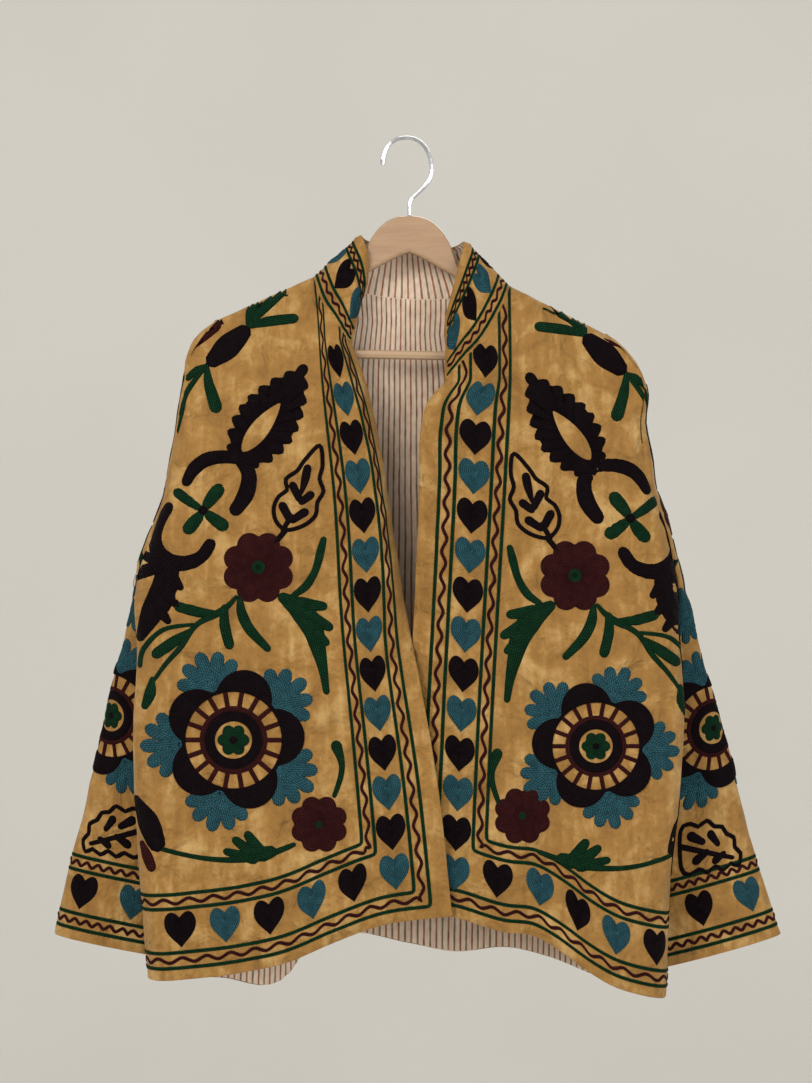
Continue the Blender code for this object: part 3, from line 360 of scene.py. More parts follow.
# Grid sizes, finer than the solids', and the places of the panels' rows: to the underarm, then to the hem
FINER = 3
BORDER_COLUMNS = 24
FIELD_COLUMNS = 24
TURN_COLUMNS = 10
TURN_AT = 0.85
SHOULDER_COLUMNS = 12
UPPER_ROWS = (0, 0.01, 0.035, 0.08, 0.145, 0.23, 0.34, 0.46, 0.58, 0.7, 0.8, 0.9, 1)
LOWER_ROWS = (0.09, 0.19, 0.29, 0.39, 0.5, 0.61, 0.72, 0.82, 0.91, 1)
COLLAR_BACK = 36
COLLAR_ROWS = 12
# The columns that the linings cover
LINED_BACK = slice(3, -3)
LINED_COLLAR = slice(BORDER_COLUMNS + 6, BORDER_COLUMNS + COLLAR_BACK - 5)


def smooth(t: float) -> float:
    """A soft step from 0 to 1."""
    t = min(max(t, 0.0), 1.0)
    return t * t * (3 - 2 * t)


def mix(a: float, b: float, t: float) -> float:
    """The value a share t of the way from a to b; places too."""
    return a + (b - a) * t


def meeting(low: float, high: float, past: Callable[[float], bool]) -> float:
    """The place between two others from which on a test holds."""
    for _ in range(HALVINGS):
        middle = (low + high) / 2
        low, high = (low, middle) if past(middle) else (middle, high)
    return low


def lengths(line: np.ndarray) -> np.ndarray:
    """Distances along a line of points, from its start."""
    return np.concatenate(([0.0], np.cumsum(np.linalg.norm(np.diff(line, axis=0), axis=1))))


def headings(steps: np.ndarray) -> np.ndarray:
    """Steps in a plane, each brought to length 1."""
    return steps / np.maximum(np.linalg.norm(steps, axis=1), 1e-6)[:, None]


def past_underarm(drop: float) -> float:
    """A soft step from the armhole to the side seam."""
    return smooth((drop - UNDERARM_DROP + 0.04) / 0.05)


def shoulder_line(ends: tuple[Pair, Pair], x: float) -> float:
    """Drop of the straight shoulder line, carried on past its ends."""
    (x1, drop1), (x2, drop2) = ends
    return drop1 + (x - x1) * (drop2 - drop1) / (x2 - x1)


def stand(name: str, below: float) -> float:
    """How far the cloth stands off the hanger's plane at a drop below the shoulder line."""
    sign = -1 if below < 0 else 1
    below = abs(below)
    rim = min(below / RIDGE_ROUND, 1.0)
    return sign * (RIDGE * math.sqrt(1 - (1 - rim) ** 2) + STAND(name, below))


def fold_height(name: str, x: float, drop: float) -> float:
    """Sum of a panel's folds at one place."""
    total = 0.0
    folds = FOLDS[name]
    for x1, d1, x2, d2, width, height in zip(*folds.columns.values()):
        along = ((x - x1) * (x2 - x1) + (drop - d1) * (d2 - d1)) / ((x2 - x1) ** 2 + (d2 - d1) ** 2)
        near = min(max(along, 0.0), 1.0)
        away = math.hypot(x - mix(x1, x2, near), drop - mix(d1, d2, near))
        total += height * smooth(along / 0.4) * math.exp(-((away / width) ** 2))
    return total


def unit(vector: np.ndarray) -> np.ndarray:
    """A vector of length 1."""
    return vector / max(float(np.linalg.norm(vector)), 1e-12)


def normal_at(surface: Callable[[float, float], np.ndarray], u: float, drop: float, out: np.ndarray
              ) -> np.ndarray:
    """Unit normal of a surface.

    Args:
        surface: The surface, as a function of a column and a drop.
        u: The column.
        drop: The drop.
        out: Roughly outwards.

    Returns:
        The normal on the side that out points to.
    """
    aside, below = NORMAL_STEPS
    across = surface(u + aside, drop) - surface(u - aside, drop)
    down = surface(u, drop + below) - surface(u, drop - below)
    n = unit(np.cross(across, down))
    return n if np.dot(n, out) > 0 else -n


@dataclass(eq=False)
class Front:
    """One front panel, from its front edge to the armhole and side seam."""

    name: str
    out: int
    edge: Table
    border: Table
    side: Table
    neck: Table
    shoulder: tuple[Pair, Pair]
    hem: Table
    roll: Table

    @property
    def tip_drop(self) -> float:
        """Drop of the shoulder's tip."""
        return self.shoulder[1][1]

    def side_x(self, drop: float) -> float:
        """The silhouette's x at a drop."""
        return self.side("x", drop)

    def side_y(self, x: float, drop: float, which: str) -> float:
        """Depth of the armhole or side seam, arched over at the shoulder's tip."""
        span = (UNDERARM_DROP - self.tip_drop) / CAP_LENGTH
        below = drop - shoulder_line(self.shoulder, x)
        rim = min(abs(below) / RIDGE_ROUND, 1.0)
        arch = math.copysign(math.sqrt(1 - (1 - rim) ** 2), below)
        return SIDE_DEPTH(which, max(drop - self.tip_drop, 0.0) / span) * arch

    def cloth_y(self, x: float, drop: float) -> float:
        """Depth of the panel's face away from its edges."""
        face = -stand("front", drop - shoulder_line(self.shoulder, x))
        return face - fold_height(self.name, x, drop)

    def border_point(self, along: float, drop: float) -> Pair:
        """A place on the border strip, by its distance from the front edge."""
        turn = math.radians(self.roll("turn", drop))
        lift = self.roll("lift", drop)
        x0 = self.border("x", drop)
        x_edge = self.edge("x", drop)
        steps = BORDER_STEPS
        width = BORDER_WIDTH / steps
        xs, ys = [0.0], [0.0]
        for i in range(steps + 4):
            place = BORDER_WIDTH - (i + 0.5) * width
            bend = turn * smooth((ROLL_FROM - place) / (ROLL_FROM - ROLL_TO))
            xs.append(xs[-1] + width * math.cos(bend))
            ys.append(ys[-1] + width * math.sin(bend))
        walked = np.arange(steps + 5) * width
        reach = (x_edge - x0) / (-self.out * xs[steps])
        at = BORDER_WIDTH - along
        if at < 0:
            return x0 + at * -self.out * reach, self.cloth_y(x0, drop)
        x = x0 - self.out * reach * float(np.interp(at, walked, xs))
        flat = self.cloth_y(mix(x0, x_edge, min(at / BORDER_WIDTH, 1.0)), drop)
        return x, flat + float(np.interp(at, walked, ys)) - lift * smooth(at / BORDER_WIDTH)

    def point(self, column: float, drop: float) -> np.ndarray:
        """A place on the outer face.

        Args:
            column: -2 at the front edge, -1 at the border line, 0 where the side turns, 1 at the seam.
            drop: The drop.

        Returns:
            The place.
        """
        if column < -1:
            x, y = self.border_point(BORDER_WIDTH * (column + 2), drop)
            return np.array((x, y, -drop))
        x0 = self.border("x", drop)
        x_side = self.side_x(drop)
        below = past_underarm(drop)
        turned = mix(0.016, 0.026, below) * smooth((drop - self.tip_drop + 0.03) / 0.06)
        x_turn = x_side - self.out * turned
        if column < 0:
            x = mix(x0, x_turn, column + 1)
            return np.array((x, self.cloth_y(x, drop), -drop))
        last = math.radians(mix(*SIDE_TURNS, below))
        angle = column * last
        across = math.sin(angle) / math.sin(last)
        back = (1 - math.cos(angle)) / (1 - math.cos(last))
        x = mix(x_turn, x_side, across)
        face = self.cloth_y(x, drop)
        return np.array((x, mix(face, self.side_y(x, drop, "front"), back), -drop))

    def top_outline(self, x: float) -> float:
        """Drop of the neckline or shoulder seam at x."""
        neck_end = self.shoulder[0][0]
        if (x - neck_end) * self.out > 0:
            return shoulder_line(self.shoulder, x)
        return self.neck("drop", x)

    @functools.lru_cache(maxsize=None)
    def top_drop(self, column: float) -> float:
        """Where a column of the panel meets its neckline or shoulder seam."""
        return meeting(*TOP_EDGES, lambda drop: drop > self.top_outline(self.point(column, drop)[0]))

    @functools.lru_cache(maxsize=None)
    def hem_drop(self, column: float) -> float:
        """Where a column of the panel meets the hem."""
        return self.hem("drop", self.point(column, HEM_READ)[0])

    def at(self, column: float, down: float) -> np.ndarray:
        """A place by column and by its share of the way from the top edge to the hem."""
        return self.point(column, self.drop_at(column, down))

    def drop_at(self, column: float, down: float) -> float:
        """Drop of a place by its share of the way down."""
        return mix(self.top_drop(column), self.hem_drop(column), down)

    def normal(self, column: float, down: float) -> np.ndarray:
        """Unit normal of the outer face."""
        across = -self.out * 0.8 if column < -1 else self.out * 0.3
        n = normal_at(self.point, column, self.drop_at(column, down), np.array((across, -1, 0.2)))
        if column == 1:
            n = unit(np.array((self.out * max(n[0] * self.out, 0.1), n[1], n[2])))
        return level(n) if down == 0 and column >= -1 else n


LEFT = Front(
    "front_left", -1, LEFT_EDGE, LEFT_BORDER, LEFT_SIDE, LEFT_NECK, LEFT_SHOULDER, LEFT_HEM, LEFT_ROLL
)
RIGHT = Front(
    "front_right", 1, RIGHT_EDGE, RIGHT_BORDER, RIGHT_SIDE, RIGHT_NECK, RIGHT_SHOULDER, RIGHT_HEM, RIGHT_ROLL
)


class Back:
    """The back panel, from the left side seam to the right one."""

    def top_drop(self, x: float) -> float:
        """Drop of the shoulder seams and of the back neckline."""
        left, right = LEFT_SHOULDER[0], RIGHT_SHOULDER[0]
        if x <= left[0]:
            return shoulder_line(LEFT_SHOULDER, x)
        if x >= right[0]:
            return shoulder_line(RIGHT_SHOULDER, x)
        t = (x - left[0]) / (right[0] - left[0])
        return mix(left[1], right[1], t) + BACK_NECK_DIP * math.sin(math.pi * t) ** 0.8

    def ridge_drop(self, x: float) -> float:
        """Drop of the shoulder line, carried across the neck to a soft peak."""
        left = shoulder_line(LEFT_SHOULDER, x)
        right = shoulder_line(RIGHT_SHOULDER, x)
        return max(left, right)

    def cloth_y(self, x: float, drop: float) -> float:
        """Depth of the back's outer face away from its sides."""
        face = stand("back", drop - self.ridge_drop(x))
        beside = smooth((abs(x) - BACK_SIDE_FROM) / (BACK_SIDE_TO - BACK_SIDE_FROM))
        beside *= smooth((drop - 0.27) / 0.12)
        return mix(face, BACK_SIDE_STAND, beside) + fold_height("back", x, drop)

    def point(self, across: float, drop: float) -> np.ndarray:
        """A place on the outer face; across runs from -1 at the left seam to 1 at the right one."""
        side = LEFT if across < 0 else RIGHT
        x_side = side.side_x(drop)
        below = past_underarm(drop)
        turned = mix(0.014, 0.02, below) * smooth((drop - side.tip_drop + 0.03) / 0.06)
        x_turn = x_side - side.out * turned
        share = abs(across)
        if share <= TURN_AT:
            x = x_turn * share / TURN_AT
            return np.array((x, self.cloth_y(x, drop), -drop))
        last = math.radians(mix(*SIDE_TURNS, below))
        angle = (share - TURN_AT) / (1 - TURN_AT) * last
        x = mix(x_turn, x_side, math.sin(angle) / math.sin(last))
        forward = (1 - math.cos(angle)) / (1 - math.cos(last))
        return np.array((x, mix(self.cloth_y(x, drop), side.side_y(x, drop, "back"), forward), -drop))

    @functools.lru_cache(maxsize=None)
    def ends(self, across: float) -> Pair:
        """Drops of a column's top edge and hem."""
        top = meeting(*TOP_EDGES, lambda drop: drop > self.top_drop(self.point(across, drop)[0]))
        return top, BACK_HEM("drop", self.point(across, HEM_READ)[0])

    def at(self, across: float, down: float) -> np.ndarray:
        """A place by its share of the way across and down."""
        return self.point(across, mix(*self.ends(across), down))

    def normal(self, across: float, down: float) -> np.ndarray:
        """Unit normal of the outer face."""
        drop = mix(*self.ends(across), down)
        n = normal_at(self.point, across, drop, np.array((across * 0.3, 1, 0.2)))
        x = self.point(across, drop)[0]
        neck = LEFT_SHOULDER[0][0] + 0.0005 < x < RIGHT_SHOULDER[0][0] - 0.0005
        if abs(across) == 1:
            n = unit(np.array((across * max(n[0] * across, 0.1), n[1], n[2])))
        return n if neck or down > 0 else level(n)


BACK = Back()


def level(n: np.ndarray) -> np.ndarray:
    """A shoulder seam's normal, without its lean to the front or back."""
    return unit(n * np.array((1, 0, 1)))


def underarm_share(side: "Front") -> float:
    """The underarm's share of the way from the shoulder's tip to the hem, along the side."""
    hem = side.hem("drop", side.side_x(HEM_READ))
    return (UNDERARM_DROP - side.tip_drop) / (hem - side.tip_drop)


def finer(places: Sequence[float], parts: int = FINER) -> list[float]:
    """The same run of places with each step cut into equal parts."""
    steps = [mix(a, b, k / parts) for a, b in zip(places, places[1:]) for k in range(parts)]
    return steps + [places[-1]]


def row_places(share: float) -> list[float]:
    """The rows of a panel as shares of the way down."""
    upper = [share * place for place in UPPER_ROWS]
    return finer(upper + [mix(share, 1.0, place) for place in LOWER_ROWS])


def border_columns() -> np.ndarray:
    """The columns of a front's border."""
    return np.append(np.linspace(-2, -1.05, BORDER_COLUMNS), -1.0)


def front_columns() -> list[float]:
    """The columns of a front, from the front edge to the side."""
    border = list(border_columns())
    field = list(np.linspace(-1, 0, FIELD_COLUMNS + 1))[1:]
    turn = list(np.linspace(0, 1, TURN_COLUMNS + 1))[1:]
    return border + field + turn


def seam_shift(place: np.ndarray, sign: int) -> np.ndarray:
    """Moves a place off the shoulder or side seam by half the gap, forward or back."""
    return place + np.array((0.0, sign * SEAM_GAP * 0.8, 0.0))


def back_row_share(across: float) -> float:
    """The underarm's share for a column of the back."""
    return mix(underarm_share(LEFT), underarm_share(RIGHT), smooth((across + 1) / 2))


def resample(line: Sequence, count: int) -> list[np.ndarray]:
    """Evenly spaced places along a line of points, both ends kept."""
    line = np.array(line)
    walked = lengths(line)
    even = np.linspace(0, walked[-1], count + 1)
    return [np.array([np.interp(w, walked, line[:, k]) for k in range(2)]) for w in even]


def arc(a: Pair, b: Pair, along_first: bool, power: float = 1.0) -> list[Pair]:
    """A quarter turn between two places.

    Args:
        a: The start.
        b: The end.
        along_first: Whether it leaves a along x, and not along y.
        power: How square the turn is.

    Returns:
        Its places.
    """
    line = []
    for i in range(13):
        angle = math.pi / 2 * i / 12
        gone, left = math.sin(angle) ** power, math.cos(angle) ** power
        if along_first:
            line.append((mix(a[0], b[0], gone), mix(b[1], a[1], left)))
        else:
            line.append((mix(b[0], a[0], left), mix(a[1], b[1], gone)))
    return line


@dataclass
class Sleeve:
    """One sleeve's form, hanging from its armhole behind the body's side."""

    name: str
    side: Front
    outline: Table

    def __post_init__(self) -> None:
        """Reads the sizes that differ from side to side."""
        self.slope = CUFF_SLOPE[self.name]
        self.shift = CUFF_SHIFT[self.name]
        self.share = underarm_share(self.side)

    def slice_line(self, front: Pair, out: Pair, back: Pair, inner: Pair, end: Pair, hug: float,
                   folded: float = 1.0) -> list[np.ndarray]:
        """A slice seen from above, on the right-hand side.

        Args:
            front: Where it starts, at the front seam.
            out: Its outermost place.
            back: Its rearmost place.
            inner: Its inner edge.
            end: Where it ends.
            hug: How closely it runs along the body.
            folded: How much of its fold behind the back it has.

        Returns:
            Its places, front part first.
        """
        fore = [np.array(p) for p in resample(arc(front, out, True), SLEEVE_FRONT)]
        behind = arc(out, back, False) + arc(back, inner, True)[1:]
        close = np.array(arc(inner, end, True, 0.6))
        easy = np.array(arc(inner, end, False))
        behind += [tuple(p) for p in mix(easy, close, hug)[1:]]
        plain = resample(arc(out, end, False), SLEEVE_BACK)
        return fore + [mix(a, b, folded) for a, b in zip(plain, resample(behind, SLEEVE_BACK))][1:]

    def below_tip(self, drop: float) -> float:
        """Drop below the shoulder's tip, on the scale of the table of the cap."""
        return (drop - self.side.tip_drop) * CAP_LENGTH / (UNDERARM_DROP - self.side.tip_drop)

    def folded(self, below: float) -> float:
        """How much of the cap's fold behind the back a slice has."""
        return smooth((CAP("bulge", below) - FOLD_AT) / 0.008)

    def cap_slice(self, place_down: float) -> list[np.ndarray]:
        """A slice above the underarm, open towards the body."""
        down = self.share * max(place_down, 0.003)
        front, back = self.side.at(1.0, down), BACK.at(self.side.out, down)
        x, drop = abs(front[0]) + SEAM_GAP, -front[2]
        below = self.below_tip(drop)
        inward = CAP("inward", below)
        behind_back = BACK.cloth_y(self.side.out * (x - inward), drop) + 0.0035
        inner_y = max(CAP("y_in", below), behind_back) if inward > 0 else back[1]
        out = (max(abs(self.outline("x", drop)), x + 0.0034), CAP("y_out", below))
        inner = (x - inward, mix(back[1] + 0.0005, inner_y, smooth(inward / 0.004)))
        behind = (mix(inner[0], out[0], 0.5), back[1] + CAP("bulge", below))
        line = self.slice_line((x, front[1]), out, behind, inner, (x, back[1]), 1.0, self.folded(below))
        soft = [(p + 2 * q + r) / 4 for p, q, r in zip(line, line[1:], line[2:])]
        line = [line[0]] + soft + [line[-1]]
        return [np.array((self.side.out * p[0], p[1], -drop)) for p in line]

    def arm_slice(self, below: float) -> list[np.ndarray]:
        """A slice below the underarm, closed, and turned to the cuff's slope lower down."""
        drop = UNDERARM_DROP + below
        eased = smooth(below / 0.368)
        shift = self.shift * eased
        slope = self.slope * eased
        out = (abs(self.outline("x", drop)), ARM("y_out", below))
        seam = (ARM("x_s", below) + shift, ARM("y_s", below))
        inner = (ARM("x_in", below) + shift, ARM("y_in", below))
        behind = ((inner[0] + out[0]) / 2, ARM("y_k", below))
        line = self.slice_line(seam, out, behind, inner, seam, ARM("hug", below))
        return [np.array((self.side.out * p[0], p[1], -drop - slope * (out[0] - p[0]))) for p in line]

    def grid(self) -> tuple[list[list[np.ndarray]], int]:
        """All slices, and how many of them are open."""
        cap = [self.cap_slice(place_down) for place_down in finer(UPPER_ROWS)[:-1]]
        arm = [self.arm_slice(below) for below in finer((0.0,) + ARM_DROPS)]
        return cap + arm, len(cap)

    def normals(self, points: list[list[np.ndarray]], opened: int) -> list[list[np.ndarray]]:
        """Outward normals from neighbouring places."""
        count = len(points[0]) - 1
        normals = []
        for i, row in enumerate(points):
            turned = []
            for j in range(count + 1):
                before, after = max(j - 1, 0), min(j + 1, count)
                if i >= opened:
                    before, after = (j - 1) % count, (j + 1) % count
                across = row[after] - row[before]
                down = points[min(i + 1, len(points) - 1)][j] - points[max(i - 1, 0)][j]
                turned.append(unit(np.cross(down, across)) * self.side.out)
            hug = ARM("hug", -row[0][2] - UNDERARM_DROP) if i >= opened else 0.0
            turned[0] = unit(np.array((-self.side.out * 0.35 * hug, -1.0, 0.0)))
            fold = self.folded(self.below_tip(-row[0][2]))
            seam = unit(np.array((-self.side.out * fold, 1.0 - fold, 0.0)))
            turned[-1] = turned[0] if i >= opened else seam
            normals.append(turned)
        return normals


def neck_seam() -> list[Spot]:
    """Places and normals along the neck seam, from the left front corner round the back."""
    border = border_columns()
    left, right = back_across(LEFT_SHOULDER[0][0]), back_across(RIGHT_SHOULDER[0][0])
    seam = [(LEFT.at(column, 0.0), LEFT.normal(column, 0.0)) for column in border]
    for across in np.linspace(left, right, COLLAR_BACK + 1)[1:-1]:
        seam.append((BACK.at(across, 0.0), BACK.normal(across, 0.0)))
    return seam + [(RIGHT.at(column, 0.0), RIGHT.normal(column, 0.0)) for column in border[::-1]]


@functools.lru_cache(maxsize=None)
def back_across(x: float) -> float:
    """The back's column that meets its top edge at x."""
    return meeting(-1.0, 1.0, lambda across: BACK.at(across, 0.0)[0] >= x)


def collar_grid() -> tuple[list[list[np.ndarray]], list[list[np.ndarray]]]:
    """Points and normals of the collar's outer face, from the neck seam up to the top edge."""
    seam = neck_seam()
    points, normals = [], []
    for row in range(COLLAR_ROWS + 1):
        up = row / COLLAR_ROWS
        line, turned = [], []
        for i, (base, body_normal) in enumerate(seam):
            along = collar_along(i)
            top = np.array((
                COLLAR_TOP("x", along),
                COLLAR_TOP("y", along),
                -COLLAR_TOP("drop", along),
            ))
            rise = unit(top - base)
            line.append(mix(base + rise * SEAM_GAP * 2, top, up))
            turned.append((rise, body_normal, up))
        points.append(line)
        normals.append(turned)
    return points, collar_normals(points, normals)


def collar_along(index: int) -> float:
    """A seam place's share of the way round the collar's top edge."""
    past = index - BORDER_COLUMNS - COLLAR_BACK
    if index > BORDER_COLUMNS and past < 0:
        return mix(COLLAR_RIGHT, COLLAR_LEFT, -past / COLLAR_BACK)
    left = index <= BORDER_COLUMNS
    column = border_columns()[index if left else BORDER_COLUMNS - past]
    share = float(np.interp(column, COLLAR_COLUMNS, COLLAR_SHARES))
    return share if left else 1 - share * (1 - COLLAR_RIGHT) / COLLAR_LEFT


def collar_normals(points: list[list[np.ndarray]], known: list) -> list[list[np.ndarray]]:
    """Outward normals: the body's at the neck seam, the collar's own above it."""
    normals = []
    for i, row in enumerate(points):
        turned = []
        for j in range(len(row)):
            rise, body_normal, up = known[i][j]
            around = row[min(j + 1, len(row) - 1)] - row[max(j - 1, 0)]
            own = unit(np.cross(around, rise))
            if np.dot(own, body_normal) < 0:
                own = -own
            turned.append(unit(mix(body_normal, own, smooth(up / 0.4))))
        normals.append(turned)
    return normals


@dataclass(eq=False)
class Cloth:
    """A piece of cloth: a grid of places on its outer face, with its last row along the free edge."""

    name: str
    points: np.ndarray
    normals: np.ndarray
    ringed: int | None = None

    def crease(self) -> None:
        """Adds the small creases, the pucker along the free edges and a slight unevenness."""
        rows, columns = self.points.shape[:2]
        raised = np.zeros((rows, columns))
        x, drop, facing = self.points[..., 0], -self.points[..., 2], self.normals[..., 1]
        for x1, d1, x2, d2, width, height, face in CREASES.get(self.name, ()):
            run = (x2 - x1) ** 2 + (d2 - d1) ** 2
            along = np.clip(((x - x1) * (x2 - x1) + (drop - d1) * (d2 - d1)) / run, 0, 1)
            away = np.hypot(x - x1 - along * (x2 - x1), drop - d1 - along * (d2 - d1))
            near = np.exp(-((away / width) ** 2)) * np.sin(np.pi * np.clip(0.12 + along * 0.88, 0, 1)) ** 0.7
            raised += height * MM * near * (facing * face > -0.2)
        for i in range(rows):
            for j in range(columns):
                place = Vector(self.points[i, j])
                raised[i, j] += sum(height * noise.noise(place * fine) for height, fine in UNEVEN)
                raised[i, j] += self.pucker(i, j)
        if self.name == "collar":
            share = 1 - np.arange(rows) / (rows - 1)
            roll = np.sin(np.pi * np.clip((share - ROLL_SHARE) / (1 - ROLL_SHARE), 0, 1))
            raised += ROLL_HEIGHT * roll[:, None]
        if self.ringed is not None:
            raised[self.ringed:, -1] = raised[self.ringed:, 0]
        self.points = self.points + self.normals * raised[..., None]

    def pucker(self, i: int, j: int) -> float:
        """Height of the small gathers between the free edge and the first line of embroidery."""
        along, across = self.along[j], self.climb[i, j]
        if self.name.startswith("front") and along < across:
            along, across = across, along
        near = smooth((EDGE_STRIP - across) / PUCKER_FADE) * smooth(across / (PUCKER_FADE / 2))
        sway = noise.noise(Vector((along * 60, across * 20, 3.0)))
        return PUCKER_HEIGHT * near * math.sin(along * math.tau / PUCKER_STEP + 3 * sway)

    @functools.cached_property
    def along(self) -> np.ndarray:
        """Distances along the free edge."""
        return lengths(self.points[-1])

    @functools.cached_property
    def climb(self) -> np.ndarray:
        """Distances up each column from the free edge."""
        steps = np.linalg.norm(np.diff(self.points[::-1], axis=0), axis=2)
        walked = np.concatenate((np.zeros((1, steps.shape[1])), np.cumsum(steps, axis=0)))
        return walked[::-1]

    @functools.cached_property
    def tree(self) -> BVHTree:
        """The grid as a search tree, with its faces row by row."""
        rows, columns = self.points.shape[:2]
        faces = [
            (i * columns + j, i * columns + j + 1, (i + 1) * columns + j + 1, (i + 1) * columns + j)
            for i in range(rows - 1) for j in range(columns - 1)
        ]
        return BVHTree.FromPolygons(self.points.reshape(-1, 3).tolist(), faces)

    def spot(self, row: float, column: float) -> Spot:
        """The place and normal at a place between the grid's rows and columns."""
        rows, columns = self.points.shape[:2]
        i = min(max(int(row), 0), rows - 2)
        j = min(max(int(column), 0), columns - 2)
        s, t = min(row - i, 1.0), min(column - j, 1.0)
        found = []
        for grid in (self.points, self.normals):
            upper = mix(grid[i, j], grid[i, j + 1], t)
            lower = mix(grid[i + 1, j], grid[i + 1, j + 1], t)
            found.append(mix(upper, lower, s))
        return found[0], unit(found[1])

    def by_edge(self, across: float, down: float) -> Spot:
        """A place by millimetres along the free edge and (as a negative number) up from it."""
        count = len(self.along)
        reach = across * MM
        if self.ringed is not None:
            reach %= self.along[-1]
        column = float(np.interp(reach, self.along, np.arange(count)))
        j = min(int(column), count - 2)
        climb = mix(self.climb[:, j], self.climb[:, j + 1], column - j)
        row = np.interp(-down * MM, climb[::-1], np.arange(len(climb))[::-1])
        return self.spot(float(row), column)

    def by_share(self, across: float, down: float) -> Spot:
        """A place by millimetres along the free edge and by 50ths of the way up."""
        rows = len(self.points) - 1
        column = float(np.interp(across * MM, self.along, np.arange(len(self.along))))
        return self.spot(rows * (1 + down / COLLAR_SCALE), column)

    def seen(self, across: float, down: float, behind: bool = False) -> Spot:
        """The place that shows at a place of the front view.

        Args:
            across: Millimetres from the view's left side.
            down: Millimetres from its top.
            behind: Whether the cloth is looked at from behind instead.

        Returns:
            The place and its normal.
        """
        x, z = (across - ACROSS_ZERO) * MM, (DOWN_ZERO - down) * MM
        sign = -1 if behind else 1
        hit, _, index, _ = self.tree.ray_cast(Vector((x, -0.5 * sign, z)), Vector((0, sign, 0)))
        if hit is None:
            hit, _, index, _ = self.tree.find_nearest(Vector((x, -0.03 * sign, z)))
        i, j = divmod(index, self.points.shape[1] - 1)
        around = self.normals[i:i + 2, j:j + 2].sum(axis=(0, 1))
        return np.array(hit), unit(around)

    def wrapped(self, across: float, down: float, behind: bool = False) -> Spot:
        """A ringed cloth's place at a place of the view, going on round its sides at full length."""
        x, z = (across - ACROSS_ZERO) * MM, (DOWN_ZERO - down) * MM
        middle = SLEEVE_FRONT + SLEEVE_BACK // 2 if behind else SLEEVE_FRONT // 2
        heights = self.points[:, middle, 2]
        row = float(np.interp(-z, -heights, np.arange(len(heights))))
        i = min(int(row), len(heights) - 2)
        line = mix(self.points[i], self.points[i + 1], row - i)
        gone = lengths(line)
        ahead = math.copysign(1.0, line[middle + 1, 0] - line[middle - 1, 0])
        reach = gone[middle] + (x - line[middle, 0]) * ahead
        if i >= self.ringed:
            reach %= gone[-1]
        return self.spot(row, float(np.interp(reach, gone, np.arange(len(gone)))))

    def flat_size(self) -> tuple[float, float, float]:
        """Greatest width and length over the cloth, and its area, in metres."""
        wide = np.linalg.norm(np.diff(self.points, axis=1), axis=2).sum(axis=1).max()
        sides = np.diff(self.points, axis=1)[:-1], np.diff(self.points, axis=0)[:, :-1]
        area = np.linalg.norm(np.cross(*sides), axis=2).sum()
        return float(wide), float(self.climb[0].max()), float(area)

    def edges(self) -> list[list[tuple[int, int]]]:
        """The grid's free edges as loops of rows and columns."""
        rows, columns = self.points.shape[:2]
        last = columns - 1
        if self.ringed is None:
            loop = [(0, j) for j in range(columns)] + [(i, last) for i in range(1, rows)]
            loop += [(rows - 1, j) for j in range(last - 1, -1, -1)]
            return [loop + [(i, 0) for i in range(rows - 2, 0, -1)]]
        cap = [(i, 0) for i in range(self.ringed, -1, -1)] + [(0, j) for j in range(1, columns)]
        cap += [(i, last) for i in range(1, self.ringed)]
        return [cap, [(rows - 1, j) for j in range(last - 1, -1, -1)]]

    def mesh(self, thickness: float, lined: bool) -> bpy.types.Object:
        """The closed piece: outer face, inner face and rounded edges.

        Args:
            thickness: The cloth's thickness.
            lined: Whether the inner face takes the second material.

        Returns:
            The new object, without materials.
        """
        bm = bmesh.new()
        layer = bm.loops.layers.uv.new("cloth")
        rows, columns = self.points.shape[:2]
        ringed = rows if self.ringed is None else self.ringed
        wide = np.linalg.norm(np.diff(self.points, axis=1), axis=2).mean(axis=0)
        across = np.concatenate(([0.0], np.cumsum(wide)))
        sheets = []
        for depth in (0.0, thickness):
            grid = self.points - self.normals * depth
            sheet = [
                [bm.verts.new(p) for p in (row[:-1] if i >= ringed else row)] for i, row in enumerate(grid)
            ]
            sheets.append([row + row[:1] if i >= ringed else row for i, row in enumerate(sheet)])
        for sheet, index in zip(sheets, (0, int(lined))):
            for i in range(rows - 1):
                for j in range(columns - 1):
                    corners = ((i, j), (i, j + 1), (i + 1, j + 1), (i + 1, j))[::-1 if index else 1]
                    face = bm.faces.new([sheet[a][b] for a, b in corners])
                    face.material_index = index
                    for loop, (a, b) in zip(face.loops, corners):
                        loop[layer].uv = (across[b], self.climb[a, b])
        for edge in self.edges():
            self.rim(bm, sheets, edge, thickness / 2)
        bmesh.ops.recalc_face_normals(bm, faces=bm.faces)
        return new_object(self.name, bm)

    def rim(self, bm: bmesh.types.BMesh, sheets: list, edge: list[tuple[int, int]], radius: float) -> None:
        """Joins the two faces round one free edge with a half round."""
        loops = []
        count = len(edge)
        rows, columns = self.points.shape[:2]
        for k, (i, j) in enumerate(edge):
            before, after = edge[k - 1], edge[(k + 1) % count]
            normal = self.normals[i, j]
            ahead = self.points[after] - self.points[before]
            outward = unit(np.cross(normal, ahead))
            inner = self.points[min(max(i, 1), rows - 2), min(max(j, 1), columns - 2)]
            if np.dot(outward, self.points[i, j] - inner) < 0:
                outward = -outward
            middle = self.points[i, j] - normal * radius
            turned = [middle + radius * (normal * c + outward * s) for c, s in RIM_PROFILE]
            loops.append([sheets[0][i][j]] + [bm.verts.new(p) for p in turned] + [sheets[1][i][j]])
        for k, line in enumerate(loops):
            ahead = loops[(k + 1) % count]
            for m in range(4):
                corners = (line[m], ahead[m], ahead[m + 1], line[m + 1])
                bm.faces.new(list(dict.fromkeys(corners)))


